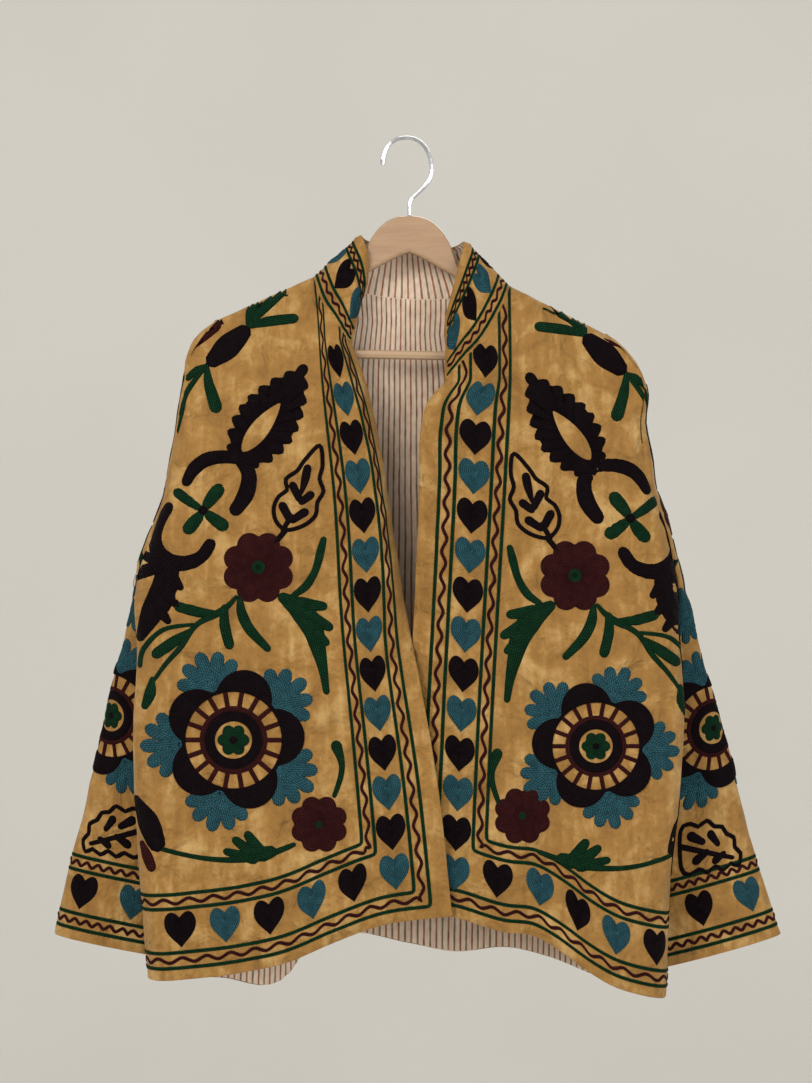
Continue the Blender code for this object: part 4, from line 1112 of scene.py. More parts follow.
def new_object(name: str, bm: bmesh.types.BMesh) -> bpy.types.Object:
    """A smooth-shaded object from a finished mesh."""
    mesh = bpy.data.meshes.new(name)
    bm.to_mesh(mesh)
    bm.free()
    mesh.shade_smooth()
    piece = bpy.data.objects.new(name, mesh)
    bpy.context.scene.collection.objects.link(piece)
    return piece


def front_cloth(side: Front) -> Cloth:
    """A front's outer face."""
    rows = row_places(underarm_share(side))
    columns = front_columns()
    points = [[seam_shift(side.at(column, down), -1) for column in columns] for down in rows]
    normals = [[side.normal(column, down) for column in columns] for down in rows]
    return Cloth(side.name, np.array(points), np.array(normals))


def back_columns() -> list[float]:
    """The columns of the back; two of them meet the ends of the neck."""
    turn = np.linspace(-1, -TURN_AT, TURN_COLUMNS + 1)
    left, right = back_across(LEFT_SHOULDER[0][0]), back_across(RIGHT_SHOULDER[0][0])
    shoulder = np.linspace(-TURN_AT, left, SHOULDER_COLUMNS + 1)[1:]
    neck = np.linspace(left, right, COLLAR_BACK + 1)[1:]
    other = np.linspace(right, TURN_AT, SHOULDER_COLUMNS + 1)[1:]
    return list(turn) + list(shoulder) + list(neck) + list(other) + list(-turn[::-1][1:])


def back_cloth() -> Cloth:
    """The back's outer face."""
    places = back_columns()
    rows = [row_places(back_row_share(across)) for across in places]
    count = len(rows[0])
    points = [[seam_shift(BACK.at(u, rows[j][i]), 1) for j, u in enumerate(places)] for i in range(count)]
    normals = [[BACK.normal(u, rows[j][i]) for j, u in enumerate(places)] for i in range(count)]
    return Cloth("back", np.array(points), np.array(normals))


def sleeve_cloth(name: str, side: Front, outline: Table) -> Cloth:
    """A sleeve's outer face."""
    sleeve = Sleeve(name, side, outline)
    points, opened = sleeve.grid()
    normals = sleeve.normals(points, opened)
    return Cloth(name, np.array(points), np.array(normals), opened)


def collar_cloth() -> Cloth:
    """The collar's outer face, with its last row along the neck seam."""
    points, normals = collar_grid()
    return Cloth("collar", np.array(points[::-1]), np.array(normals[::-1]))


def lining_cloth(name: str, cloth: Cloth, columns: slice) -> Cloth:
    """Some columns of a piece of cloth, moved in under its inner face."""
    points = cloth.points - cloth.normals * (VELVET + LINING_GAP)
    return Cloth(name, points[:, columns], cloth.normals[:, columns])


@dataclass(eq=False)
class Needlework:
    """The embroidery of one piece of cloth, gathered into one mesh."""

    name: str
    bm: bmesh.types.BMesh = field(default_factory=bmesh.new)

    def __post_init__(self) -> None:
        """Adds the map that the stitches follow."""
        self.layer = self.bm.loops.layers.uv.new("stitches")

    def raise_lines(self, on: Mapping, lines: list, thread: Thread, looped: bool, closed: bool = True
                    ) -> list[list]:
        """Adds a closed strip of stitches from its cross-sections.

        Args:
            on: Turns a place of the layout into a place and normal on the cloth.
            lines: One array for each cross-section: across, down and height, all in millimetres, with the
                stitches' own place along and across.
            thread: The yarn.
            looped: Whether the last cross-section meets the first.
            closed: Whether each cross-section's last place meets its first.

        Returns:
            The vertices of each cross-section.
        """
        made = []
        for line in lines:
            row = []
            for across, down, height, _, _ in line:
                place, normal = on(across, down)
                row.append(self.bm.verts.new(place + normal * (height * MM)))
            made.append(row)
        count, wide = len(lines), len(lines[0])
        ahead_by = 0.0
        for k in range(count if looped else count - 1):
            after = (k + 1) % count
            if after == 0:
                ahead_by = lines[-1][0][3] * (1 + 1 / (count - 1))
            for m in range(wide if closed else wide - 1):
                side = (m + 1) % wide
                corners = ((k, m, 0.0), (after, m, ahead_by), (after, side, ahead_by), (k, side, 0.0))
                face = self.bm.faces.new([made[a][b] for a, b, _ in corners])
                face.material_index = thread.value
                for loop, (a, b, more) in zip(face.loops, corners):
                    loop[self.layer].uv = ((lines[a][b][3] + more) * MM, lines[a][b][4] * MM)
        return made

    def close(self, ring: list, thread: Thread) -> None:
        """Fills the end of a strip."""
        self.bm.faces.new(ring).material_index = thread.value

    def stroke(self, on: Mapping, rows: Sequence[Sequence[float]], thread: Thread, step: float = 4.0,
               looped: bool = False, over: float = 0.0) -> None:
        """A line of stitches that swells and thins along its path.

        Args:
            on: The mapping onto the cloth.
            rows: Across, down and width at each point of the path.
            thread: The yarn.
            step: Length of its pieces.
            looped: Whether its end meets its start.
            over: Extra height over what lies below.
        """
        places = curve(rows, step, looped)
        if not looped:
            places = rounded(places)
        before = np.roll(places, 1, axis=0)
        after = np.roll(places, -1, axis=0)
        if not looped:
            before[0], after[-1] = places[0], places[-1]
        ahead = headings((after - before)[:, :2])
        gone = lengths(places[:, :2])
        lines = []
        for place, forward, along in zip(places, ahead, gone):
            width = place[2]
            height = crown(width)
            lines.append([
                (place[0] - forward[1] * share * width, place[1] + forward[0] * share * width,
                 over + rise * height if rise >= 0 else -SUNK, along, share * width)
                for share, rise in STITCH_PROFILE
            ])
        made = self.raise_lines(on, lines, thread, looped)
        if not looped:
            self.close(made[0], thread)
            self.close(made[-1][::-1], thread)

    def band(self, on: Mapping, outer: np.ndarray, inner: np.ndarray, thread: Thread, over: float = 0.0
             ) -> None:
        """A closed band of stitches between two outlines with as many points each."""
        gone = lengths(outer)
        widest = float(np.linalg.norm(outer - inner, axis=1).max())
        inside = max(int(widest / 7), 1)
        lines = []
        for out, back, along in zip(outer, inner, gone):
            width = max(float(np.linalg.norm(out - back)), 0.5)
            top = crown(width)
            near, full = min(0.45 / width, 0.12), min(1.4 / width, 0.3)
            shares = [(0.0, -SUNK), (near, 0.6 * top + over), (full, 0.95 * top + over)]
            shares += [(mix(full, 1 - full, (n + 1) / (inside + 1)), top + over) for n in range(inside)]
            shares += [(1 - full, 0.95 * top + over), (1 - near, 0.6 * top + over), (1.0, -SUNK)]
            lines.append([(*mix(out, back, share), high, along, share * width) for share, high in shares])
        self.raise_lines(on, lines, thread, True)

    def fill(self, on: Mapping, outline: np.ndarray, thread: Thread, centre: Pair | None = None,
             over: float = 0.0) -> None:
        """A shape filled with stitches, seen whole from its centre."""
        middle = np.array(centre) if centre else outline.mean(axis=0)
        gone = lengths(outline)
        reach = float(np.linalg.norm(outline - middle, axis=1).max())
        inside = max(int(reach / 6), 1)
        lines = []
        for out, along in zip(outline, gone):
            width = max(float(np.linalg.norm(out - middle)), 0.6)
            near, full = min(0.45 / width, 0.15), min(1.4 / width, 0.4)
            shares = [(0.0, -SUNK), (near, 0.6 * STITCH_TOP + over), (full, 0.95 * STITCH_TOP + over)]
            shares += [(mix(full, 1.0, (n + 1) / (inside + 1)), STITCH_TOP + over) for n in range(inside)]
            lines.append([(*mix(out, middle, share), high, along, share * width) for share, high in shares])
        self.dome(on, lines, middle, thread, STITCH_TOP + over)

    def dome(self, on: Mapping, lines: list, middle: np.ndarray, thread: Thread, top: float) -> None:
        """Adds a filled shape from lines that run from its edge towards its middle."""
        made = self.raise_lines(on, lines, thread, True, closed=False)
        place, normal = on(*middle)
        upper = self.bm.verts.new(place + normal * (top * MM))
        lower = self.bm.verts.new(place - normal * (SUNK * MM))
        total = lines[-1][0][3] * (1 + 1 / (len(lines) - 1))
        for k, row in enumerate(made):
            after = (k + 1) % len(made)
            start, end = lines[k][0][3], lines[after][0][3] + (0.0 if after else total)
            face = self.bm.faces.new((row[-1], made[after][-1], upper))
            face.material_index = thread.value
            for loop, along in zip(face.loops, (start, end, start)):
                loop[self.layer].uv = (along * MM, lines[k][-1][4] * MM)
            self.bm.faces.new((made[after][0], row[0], lower)).material_index = thread.value

    def zigzag(self, on: Mapping, rows: Sequence[Sequence[float]], thread: Thread, swing: float = 2.3,
               wave: float = 16.5) -> None:
        """A wavy line of stitches that swings to both sides of its path."""
        path = curve(rows, wave / 2, False)
        ahead = headings(np.gradient(path[:, :2], axis=0))
        bends = [
            (x - forward[1] * swing * (-1) ** k, y + forward[0] * swing * (-1) ** k, width * 0.93)
            for k, ((x, y, width), forward) in enumerate(zip(path, ahead))
        ]
        self.stroke(on, bends, thread, 2.2)

    def finish(self) -> None:
        """Adds the embroidery to the scene as one piece, with all its yarns."""
        bmesh.ops.recalc_face_normals(self.bm, faces=self.bm.faces)
        piece = new_object(self.name, self.bm)
        for thread in Thread:
            piece.data.materials.append(yarn(thread))
        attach(piece, "root")
        LOG.info("%s: %d faces", piece.name, len(piece.data.polygons))


def crown(width: float) -> float:
    """Height of a stitched line over the cloth by its width, in millimetres."""
    return min(STITCH_TOP, 0.4 + 0.14 * width)


def curve(rows: Sequence[Sequence[float]], step: float, looped: bool) -> np.ndarray:
    """Places a step apart along a smooth line through the rows; their last value is the width."""
    knots = np.array(rows, float)
    count = len(knots)
    places = []
    for k in range(count if looped else count - 1):
        places_near = [(k + n) % count if looped else min(max(k + n, 0), count - 1) for n in range(-1, 3)]
        a, b, c, d = knots[places_near]
        parts = max(int(round(np.linalg.norm((c - b)[:2]) / step)), 1)
        for t in np.arange(parts) / parts:
            blend = 2 * b + (c - a) * t + (2 * a - 5 * b + 4 * c - d) * t * t
            places.append((blend + (3 * b - a - 3 * c + d) * t ** 3) / 2)
    if not looped:
        places.append(knots[-1])
    made = np.array(places)
    made[:, 2] = np.maximum(made[:, 2], 0.8)
    return made


def rounded(places: np.ndarray) -> np.ndarray:
    """A stroke's places with rounded ends."""
    ends = []
    for end, inner in ((places[0], places[1]), (places[-1], places[-2])):
        forward = unit((end - inner)[:2])
        ends.append([
            np.array((*(end[:2] + forward * reach * end[2]), end[2] * width)) for reach, width in ROUNDED_END
        ])
    return np.array(ends[0][::-1] + list(places) + ends[1])


def petals(x: float, y: float, discs: Sequence[tuple[float, float, float]], base: float, count: int = 0
           ) -> np.ndarray:
    """Outline of a disc with smaller discs round it.

    Args:
        x: The centre's place across.
        y: The centre's place down.
        discs: Each small disc's bearing in degrees (anticlockwise from the right), distance and radius.
        base: Radius of the disc in the middle.
        count: Number of points, or 0 for one every 2.2 mm or so.

    Returns:
        The outline's points.
    """
    reach = max([base] + [away + radius for _, away, radius in discs])
    count = count or int(min(max(math.tau * reach / 2.2, 16), 180))
    outline = []
    for angle in np.arange(count) * math.tau / count:
        far = base
        for bearing, away, radius in discs:
            off = angle - math.radians(bearing)
            inside = radius ** 2 - (away * math.sin(off)) ** 2
            if inside > 0 and math.cos(off) > 0:
                far = max(far, away * math.cos(off) + math.sqrt(inside))
        outline.append((x + far * math.cos(angle), y - far * math.sin(angle)))
    return np.array(outline)


def lobed(x: float, y: float, lobes: int, away: float, radius: float, turn: float) -> np.ndarray:
    """Outline of a flower with equal lobes."""
    discs = [(turn + 360 * k / lobes, away, radius) for k in range(lobes)]
    return petals(x, y, discs, away * 0.9)


def disc(x: float, y: float, radius: float, count: int = 0) -> np.ndarray:
    """A circle's outline."""
    return petals(x, y, (), radius, count)


def heart(x: float, y: float, width: float, height: float) -> np.ndarray:
    """A heart's outline, its point down."""
    angles = np.arange(36) * math.tau / 36
    across = 16 * np.sign(np.sin(angles)) * np.abs(np.sin(angles)) ** HEART_FULLNESS
    up = 12 * np.cos(angles) - 3.2 * np.cos(2 * angles) - 1.5 * np.cos(3 * angles) - 0.8 * np.cos(4 * angles)
    return np.column_stack((x + across * width / 32, y - (up + 2.2) * height / 24.6))


def almond(base: Pair, tip: Pair, width: float, scallops: int = 0, depth: float = 0.0) -> np.ndarray:
    """An almond's outline, fuller near its base.

    Args:
        base: Its round end.
        tip: Its narrow end.
        width: Its greatest width.
        scallops: Number of small arcs along each side.
        depth: How far they stand out.

    Returns:
        The outline's points.
    """
    start, end = np.array(base), np.array(tip)
    forward = end - start
    sideways = np.array((-forward[1], forward[0])) / np.linalg.norm(forward)
    places = []
    shares = (1 - np.cos(np.linspace(0, math.pi, 46))) / 2
    for side, run in ((1, shares[:-1]), (-1, shares[:0:-1])):
        for share in run:
            half = width / 2 * math.sin(math.pi * share ** 0.8) ** 0.75
            half += depth * abs(math.sin(math.pi * scallops * share)) if 0 < share < 1 else 0.0
            places.append(start + forward * share + sideways * half * side)
    return np.array(places)


def parse(text: str) -> list[tuple[float, ...]]:
    """A path's points from its table entry."""
    return [tuple(float(value) for value in point.split(",")) for point in text.split()]


Sprigs = tuple[tuple[Thread, str], ...]
# Strokes of the left front: across, down and width at each point, all in millimetres of the front view;
# a semicolon ends a stroke. The spray below the shoulder ...
SHOULDER_SPRIGS: Sprigs = (
    (Thread.GREEN,
     "249,327,5 251,313,10 258,300,12; 249,327,5 262,312,11 282,293,11; 249,328,5 268,323,11 294,320,11; "
     "208,367,4 199,371,8 190,379,7; 208,367,5 211,386,11 218,408,14; 206,370,4 195,384,6 187,398,6 "
     "183,415,7 179,432,5"),
    (Thread.MAROON, "189,351,7 200,339,14 216,327,13; 203,333,9 197,328,9"),
)
# ... and the rest
FIELD_SPRIGS: Sprigs = (
    # Its last stroke
    (Thread.MAROON, "212,327,8 218,320,9"),
    # Curls below the almond
    (Thread.AUBERGINE,
     "240,460,12 226,458,14 209,461,15 197,470,14 190,482,11; 241,458,14 251,474,16 249,493,18 "
     "239,509,15; 299,379,11 304,372,12"),
    # Stem and buds of the outlined leaf
    (Thread.AUBERGINE,
     "288,530,6 277,543,6; 309,470,9 307,480,9 303,494,4; 295,487,9 301,499,8; 312,496,9 304,502,8; "
     "285,507,9.5 291,518,9; 306,513,9.5 295,520,8; 293,517,6 285,530,5"),
    # Four green petals
    (Thread.GREEN,
     "206,511,6 194,503,10 182,494,11; 206,511,6 213,501,13 220.6,491,14; 206,511,6 215,518,12 "
     "225,525,14; 206,511,6 200,520,13 193,528,14"),
    # The curl beside the side seam
    (Thread.AUBERGINE,
     "172,508,11 160,530,14 160,548,17 171,560,18 188,563,16 204,557,14 213,545,13; 163,562,13 "
     "147,555,10; 165,566,14 140,573,15; 172,570,24 167,592,29 156,612,25 145,634,12; 178,578,12 "
     "184,586,8; 174,596,12 181,604,8; 166,612,12 172,619,8"),
    # Green stems from the upper flower
    (Thread.GREEN,
     "239,596,4 232,604,6 221,612,8 205,620,6 196,628,6 185,645,6 170,662,5 157,680,4; 157,677,6 "
     "155,690,13 150,702,9; 220,612,6 203,611,11 184,606,11; 197,623,4 168,628,5 148,647,6 144,663,6; "
     "193,630,6 178,640,12 162,651,12; 228,607,8 228,623,11 232.5,642,11; 243,597,6 245,612,11 "
     "253,628,11 270,646,8; 286,597,12 303,609,24 315,628,22 321,650,15 325,668,10 328,688,7; 303,603,16 "
     "324,605,10; 311,615,16 330,625,10; 316,630,14 327,640,9; 296,594,6 308,585,9 317,570,8 322,552,9 "
     "325,540,7"),
    # Bud and branch of the lower flower
    (Thread.GREEN,
     "336,790,5 342,772,6 343,758,7 338,742,12; 296,838,5 278,845,7 260,850,9 230,853,6 200,851,5 "
     "168,843,5; 264,846,15 252,829,10; 258,848,15 240,834,9; 256,851,13 231,845,8; 266,847,16 "
     "273,845,14"),
    # Loose petals near the hem
    (Thread.AUBERGINE, "141,795,8 152,815,24 161,836,20"),
    (Thread.MAROON, "147,838,6 152,850,12 156,860,11"),
)
SHOULDER_OVAL = "216,360,19 229,348,27 243,335,19"
LEAF_OUTLINE = (
    "321,447,4.5 324,466,4.5 321,480,4.5 325,492,4.5 319,503,4.5 317,516,4.5 305,526,4.5 288,530,4.5"
    " 278,521,4.5 276,508,4.5 281,497,4.5 289,491,4.5 288,480,4.5 299,472,4.5 306,462,4.5"
)
# Strokes of the sleeves
SLEEVE_SPRIGS: Sprigs = (
    (Thread.GREEN,
     "149,528,5 146,545,7 140,562,7 137,578,5; 146,550,6 156,560,10 160,575,10; 146,546,5 133,546,9 "
     "124,553,9"),
    (Thread.AUBERGINE, "156,470,14 163,448,22 170,425,20 176,408,12"),
    (Thread.GREEN, "174,404,5 180,392,9 190,380,10; 172,404,5 170,390,9 172,376,10"),
    (Thread.AUBERGINE, "140,482,9 131,494,11 127,508,9"),
)
SLEEVE_FANS = ((136, 606, 95, 0.9), (136, 604, -90, 0.7))
SLEEVE_LEAF = (
    "142,812,4.5 132,807,4.5 124,811,4.5 115,807,4.5 107,814,4.5 99,816,4.5 94,824,4.5 86,829,4.5 85,839,4.5"
    " 79,846,4.5 82,857,4.5 90,853,4.5 98,857,4.5 107,852,4.5 115,856,4.5 124,851,4.5 133,854,4.5"
    " 142,846,4.5"
)
SLEEVE_BUDS = (
    "131,819,10 120,826,7; 126,842,10 116,837,7; 111,821,9 104,831,6; 106,846,9 98,842,6; "
    "141,827,6 88,848,4.5"
)
# How the right-hand side repeats the left: the sum of both places across, and how much lower. Then places
# across and down with a size: flowers by their reach and eye, rosettes by their scale and tilt
OTHER_SIDE = (833, 8)
OTHER_SLEEVE = (823, 13)
SLEEVE_ROSETTE = (106, 718, 0.88, 40)
SLEEVE_FLOWER = (149, 500, 24, 5)
SLEEVE_REAR_FLOWERS = ((178, 560, 26), (186, 700, 29), (166, 806, 22))
RED_FLOWER = (261, 567, 36, 7)
PETALS_EYE = (206, 511, 5)
SMALL_FLOWER = (28.5, 4)
BACK_SIDE_ROSETTE = (237, 736)
BACK_MIDDLE = 416
BACK_ROSETTES = (430, 722)
BACK_FLOWERS = ((318, 30, 6), (566, 32, 6))
BACK_SPRIGS = (
    "0,350,4 14,362,9 34,366,9; 0,352,4 6,372,7 24,382,8; 0,600,4 20,612,12 30,634,8; "
    "0,604,4 7,624,9 4,646,6; 0,532,4 16,520,9 34,518,8; 0,292,4 18,284,9 40,288,8"
)
# The borders, in millimetres from the front edge and from the hem: lines, waves and row of hearts
BORDER_LINES = ((19.0, 11.0), (34.0, 26.0), (69.5, 69.0), (83.0, 83.0))
BORDER_WAVES = ((26.5, 18.5), (76.2, 76.0))
HEART_LINE = (52.0, 48.0)
HEART_SIZE = (31.0, 35.0)
HEART_FULLNESS = 2.05
LINE_WIDTH = 3.9
LINE_STEP = 12
EDGE_HEARTS, EDGE_HEART_STEP = 14, 38.9
HEM_HEARTS, HEM_HEART_STEP = 5, 44
# The collar's, as shares of its height
COLLAR_LINES = (0.06, 0.25, 0.7, 0.84)
COLLAR_WAVES = (0.155, 0.77)
COLLAR_LINE = 2.7
COLLAR_HEARTS, COLLAR_HEART_LINE, COLLAR_HEART_SIZE = 11, 0.475, (32, 22)


@dataclass(frozen=True)
class Layout:
    """What differs between the embroidery of the two fronts, in millimetres of the front view."""

    rosette: tuple[float, ...]
    flower: Pair
    heart_lift: float


LAYOUTS = {
    "front_left": Layout((237, 736), (321, 818), 0.0),
    "front_right": Layout((241, 734, 0.9), (313, 802), 6.0),
}


def mirrored(on: Mapping, across_sum: float, lower: float) -> Mapping:
    """The mapping of the right-hand side: the layout mirrored and moved a little down."""
    return lambda across, down: on(across_sum - across, down + lower)


def turned_over(on: Mapping) -> Mapping:
    """The mapping of the other front or half of the back."""
    return mirrored(on, *OTHER_SIDE)


def turned_sleeve(on: Mapping) -> Mapping:
    """The mapping of the right sleeve."""
    return mirrored(on, *OTHER_SLEEVE)


def colour_by_turns(k: int) -> Thread:
    """The yarn of a border's heart: teal and dark by turns."""
    return Thread.AUBERGINE if k % 2 else Thread.TEAL


def sew(work: Needlework, on: Mapping, table: Sprigs) -> None:
    """Adds a table's strokes."""
    for thread, texts in table:
        for text in texts.split(";"):
            work.stroke(on, parse(text), thread)


def medallion(work: Needlework, on: Mapping, x: float, y: float, size: float = 1.0, tilt: float = 4.0
              ) -> None:
    """The large round rosette: flower, rings, spokes, dark petals and fans.

    Args:
        work: What it is added to.
        on: The mapping onto the cloth.
        x: The centre's place across.
        y: The centre's place down.
        size: Its scale.
        tilt: Turn of the petals from upright, in degrees.
    """
    count = 120
    work.fill(on, lobed(x, y, 6, 10 * size, 6 * size, 60), Thread.GREEN, (x, y))
    work.fill(on, disc(x, y, 4.5 * size), Thread.AUBERGINE, (x, y), 0.4)
    work.band(on, disc(x, y, 29 * size, count), disc(x, y, 18 * size, count), Thread.AUBERGINE)
    work.band(on, disc(x, y, 33.5 * size, count), disc(x, y, 28 * size, count), Thread.MAROON, 0.2)
    for k in range(18):
        across, up = size * math.cos(k * math.tau / 18), size * math.sin(k * math.tau / 18)
        ray = [(x + far * across, y - far * up, 5 * size) for far in (32, 40, 49)]
        work.stroke(on, ray, Thread.MAROON)
    turns = [72 + tilt + 72 * k for k in range(5)]
    for turn in turns:
        angle = math.radians(turn + 36)
        root = (x + 53 * size * math.cos(angle), y - 53 * size * math.sin(angle))
        fan(work, on, *root, turn + 36, size)
    outer = petals(x, y, [(turn, 42 * size, 28 * size) for turn in turns], 51 * size, 180)
    work.band(on, outer, disc(x, y, 47 * size, 180), Thread.AUBERGINE, 0.7)


def fan(work: Needlework, on: Mapping, x: float, y: float, bearing: float, size: float) -> None:
    """A fan of seven separate fingers.

    Args:
        work: What it is added to.
        on: The mapping onto the cloth.
        x: Its root's place across.
        y: Its root's place down.
        bearing: Where it points, in degrees anticlockwise from the right.
        size: Its scale.
    """
    for spread in (-88, -59, -30, 0, 30, 59, 88):
        angle = math.radians(bearing + spread)
        reach = (38 - abs(spread) * 0.06) * size
        rows = [
            (x + reach * share * math.cos(angle), y - reach * share * math.sin(angle), width * size)
            for share, width in ((0.05, 8), (0.5, 14), (0.84, 14.5))
        ]
        work.stroke(on, rows, Thread.TEAL)


def blossom(work: Needlework, on: Mapping, x: float, y: float, reach: float, heart_radius: float) -> None:
    """A red flower of eight round petals with a green centre."""
    work.fill(on, lobed(x, y, 8, reach * 0.66, reach * 0.34, 67.5), Thread.MAROON, (x, y))
    work.fill(on, disc(x, y, heart_radius), Thread.GREEN, (x, y), 0.45)


def ring_almond(work: Needlework, on: Mapping) -> None:
    """The large scalloped almond with an almond-shaped hole, and its knob."""
    outer = almond((240, 465), (303, 375), 51, 8, 7.0)
    inner = almond((245, 452.5), (282, 405), 18)
    work.band(on, outer, inner, Thread.AUBERGINE)


def shared_motifs(work: Needlework, on: Mapping) -> None:
    """What the fronts and both halves of the back have in the same places."""
    ring_almond(work, on)
    work.stroke(on, parse(LEAF_OUTLINE), Thread.AUBERGINE, looped=True)
    blossom(work, on, *RED_FLOWER)
    work.fill(on, disc(*PETALS_EYE), Thread.AUBERGINE, over=0.4)


def field_motifs(work: Needlework, on: Mapping, layout: Layout) -> None:
    """All that fills a front inside its borders."""
    sew(work, on, SHOULDER_SPRIGS + FIELD_SPRIGS)
    work.stroke(on, parse(SHOULDER_OVAL), Thread.AUBERGINE)
    shared_motifs(work, on)
    medallion(work, on, *layout.rosette)
    blossom(work, on, *layout.flower, *SMALL_FLOWER)


def corner_path(inset: float, rise: float, top: float, end: float) -> list[tuple[float, float, float]]:
    """A border line down a front edge and along its hem, in millimetres from both."""
    down = [(inset, -height) for height in np.arange(top, rise + 6, -LINE_STEP)]
    corner = [(inset + 0.6, -rise - 1.8), (inset + 2.2, -rise - 0.4)]
    along = [(across, -rise) for across in np.arange(inset + 6, end, LINE_STEP)]
    return [(*place, LINE_WIDTH) for place in down + corner + along + [(end, -rise)]]


def front_borders(work: Needlework, cloth: Cloth, heart_lift: float) -> None:
    """Lines, waves and hearts along a front's edge and hem.

    Args:
        work: What it is added to.
        cloth: The front.
        heart_lift: How much lower the hearts of its edge start.
    """
    end = cloth.along[-1] / MM - 1.5
    on = cloth.by_edge

    def top(inset: float) -> float:
        """Height of the neck edge over the hem at a distance from the front edge."""
        return cloth.climb[0, int(np.searchsorted(cloth.along, inset * MM))] / MM

    for inset, rise in BORDER_LINES:
        work.stroke(on, corner_path(inset, rise, top(inset) - 1, end), Thread.GREEN)
    for inset, rise in BORDER_WAVES:
        work.zigzag(on, corner_path(inset, rise, top(inset) - 3, end - 2), Thread.MAROON)
    inset, rise = HEART_LINE
    for k in range(EDGE_HEARTS):
        shape = heart(inset, heart_lift - rise - EDGE_HEART_STEP * k, *HEART_SIZE)
        work.fill(on, shape, colour_by_turns(k))
    step = min((end - inset) / (HEM_HEARTS + 0.5), HEM_HEART_STEP)
    for k in range(1, HEM_HEARTS + 1):
        work.fill(on, heart(inset + step * k, -rise, *HEART_SIZE), colour_by_turns(k))


def ring_borders(work: Needlework, cloth: Cloth, ends: Pair, hearts: int, first: int = 0) -> None:
    """The same border along a free edge that has no corner: a cuff or the back's hem.

    Args:
        work: What it is added to.
        cloth: The panel.
        ends: Where it starts and ends along the edge.
        hearts: Their number.
        first: 1 where the first heart is dark.
    """
    on = cloth.by_edge
    around = cloth.ringed is not None
    start, end = ends
    places = np.linspace(start, end, int((end - start) / LINE_STEP))
    for _, rise in BORDER_LINES:
        line = [(across, -rise, LINE_WIDTH) for across in places]
        work.stroke(on, line[:-1] if around else line, Thread.GREEN, looped=around)
    for _, rise in BORDER_WAVES:
        work.zigzag(on, [(across, -rise, LINE_WIDTH) for across in places], Thread.MAROON)
    for k in range(hearts):
        across = mix(start, end, (k + (0.0 if around else 0.5)) / hearts)
        work.fill(on, heart(across, -HEART_LINE[1], *HEART_SIZE), colour_by_turns(k + first))


def sleeve_motifs(work: Needlework, on: Mapping, behind: Mapping) -> None:
    """What fills the two faces of a sleeve, laid out for the left one."""
    for x, y, bearing, size in SLEEVE_FANS:
        fan(work, on, x, y, bearing, size)
    medallion(work, on, *SLEEVE_ROSETTE)
    work.stroke(on, parse(SLEEVE_LEAF), Thread.AUBERGINE, looped=True)
    sew(work, on, ((Thread.AUBERGINE, SLEEVE_BUDS),))
    blossom(work, on, *SLEEVE_FLOWER)
    sew(work, on, SLEEVE_SPRIGS)
    for x, y, reach in SLEEVE_REAR_FLOWERS:
        blossom(work, behind, x, y, reach, 5)
        for side, rise in ((-1, -1), (-1, 1), (1, -1), (1, 1)):
            leaf = [(x + side * (2 + 7 * k), y + rise * (reach + 2 + 11 * k), 5 + 3 * k) for k in range(3)]
            work.stroke(behind, leaf, Thread.GREEN)


def back_motifs(work: Needlework, cloth: Cloth) -> None:
    """The back: the fronts' motifs on both halves, and a column of its own between them."""
    left = functools.partial(cloth.seen, behind=True)
    for on in (left, turned_over(left)):
        sew(work, on, FIELD_SPRIGS)
        shared_motifs(work, on)
        medallion(work, on, *BACK_SIDE_ROSETTE)
    for down in BACK_ROSETTES:
        medallion(work, left, BACK_MIDDLE, down, 0.95)
    for down, reach, eye in BACK_FLOWERS:
        blossom(work, left, BACK_MIDDLE, down, reach, eye)
    for side in (-1, 1):
        for text in BACK_SPRIGS.split(";"):
            rows = [(BACK_MIDDLE + side * x, y, width) for x, y, width in parse(text)]
            work.stroke(left, rows, Thread.GREEN)


def collar_motifs(work: Needlework, cloth: Cloth) -> None:
    """Lines, waves and hearts round the collar."""
    on = cloth.by_share
    end = cloth.along[-1] / MM - 4
    for share in COLLAR_LINES:
        line = [(across, -share * COLLAR_SCALE, COLLAR_LINE) for across in np.linspace(4, end, 60)]
        work.stroke(on, line, Thread.GREEN)
    for share in COLLAR_WAVES:
        line = [(across, -share * COLLAR_SCALE, COLLAR_LINE) for across in np.linspace(5, end - 1, 60)]
        work.zigzag(on, line, Thread.MAROON, 1.2, 15)
    for k in range(COLLAR_HEARTS):
        across = mix(18, end - 14, k / (COLLAR_HEARTS - 1))
        shape = heart(across, -COLLAR_HEART_LINE * COLLAR_SCALE, *COLLAR_HEART_SIZE)
        work.fill(on, shape, colour_by_turns(k))


Colour = tuple[float, float, float]


@dataclass(frozen=True)
class VelvetFinish:
    """Crushed cotton velvet: pile leaning away, upright and towards the light, as painted shade and sheen
    colours.
    """

    # Painted shade and painted sheen: the pile as it looks turned away from, upright to and towards the
    # light
    dark: Colour = (0.19, 0.087, 0.012)
    mid: Colour = (0.278, 0.136, 0.024)
    light: Colour = (0.44, 0.27, 0.09)
    roughness: float = 0.85
    sheen: float = 0.16


@dataclass(frozen=True)
class YarnFinish:
    """Loosely twisted silk: one colour, with rows and stitches that show as relief and as painted shade and
    highlight.
    """

    name: str
    colour: Colour
    row: float = 0.0021
    stitch: float = 0.0034


@dataclass(frozen=True)
class WoodFinish:
    """Clear-coated beech, by its pale and dark grain."""

    name: str
    pale: Colour = (0.365, 0.23, 0.13)
    dark: Colour = (0.315, 0.19, 0.102)
    roughness: float = 0.42


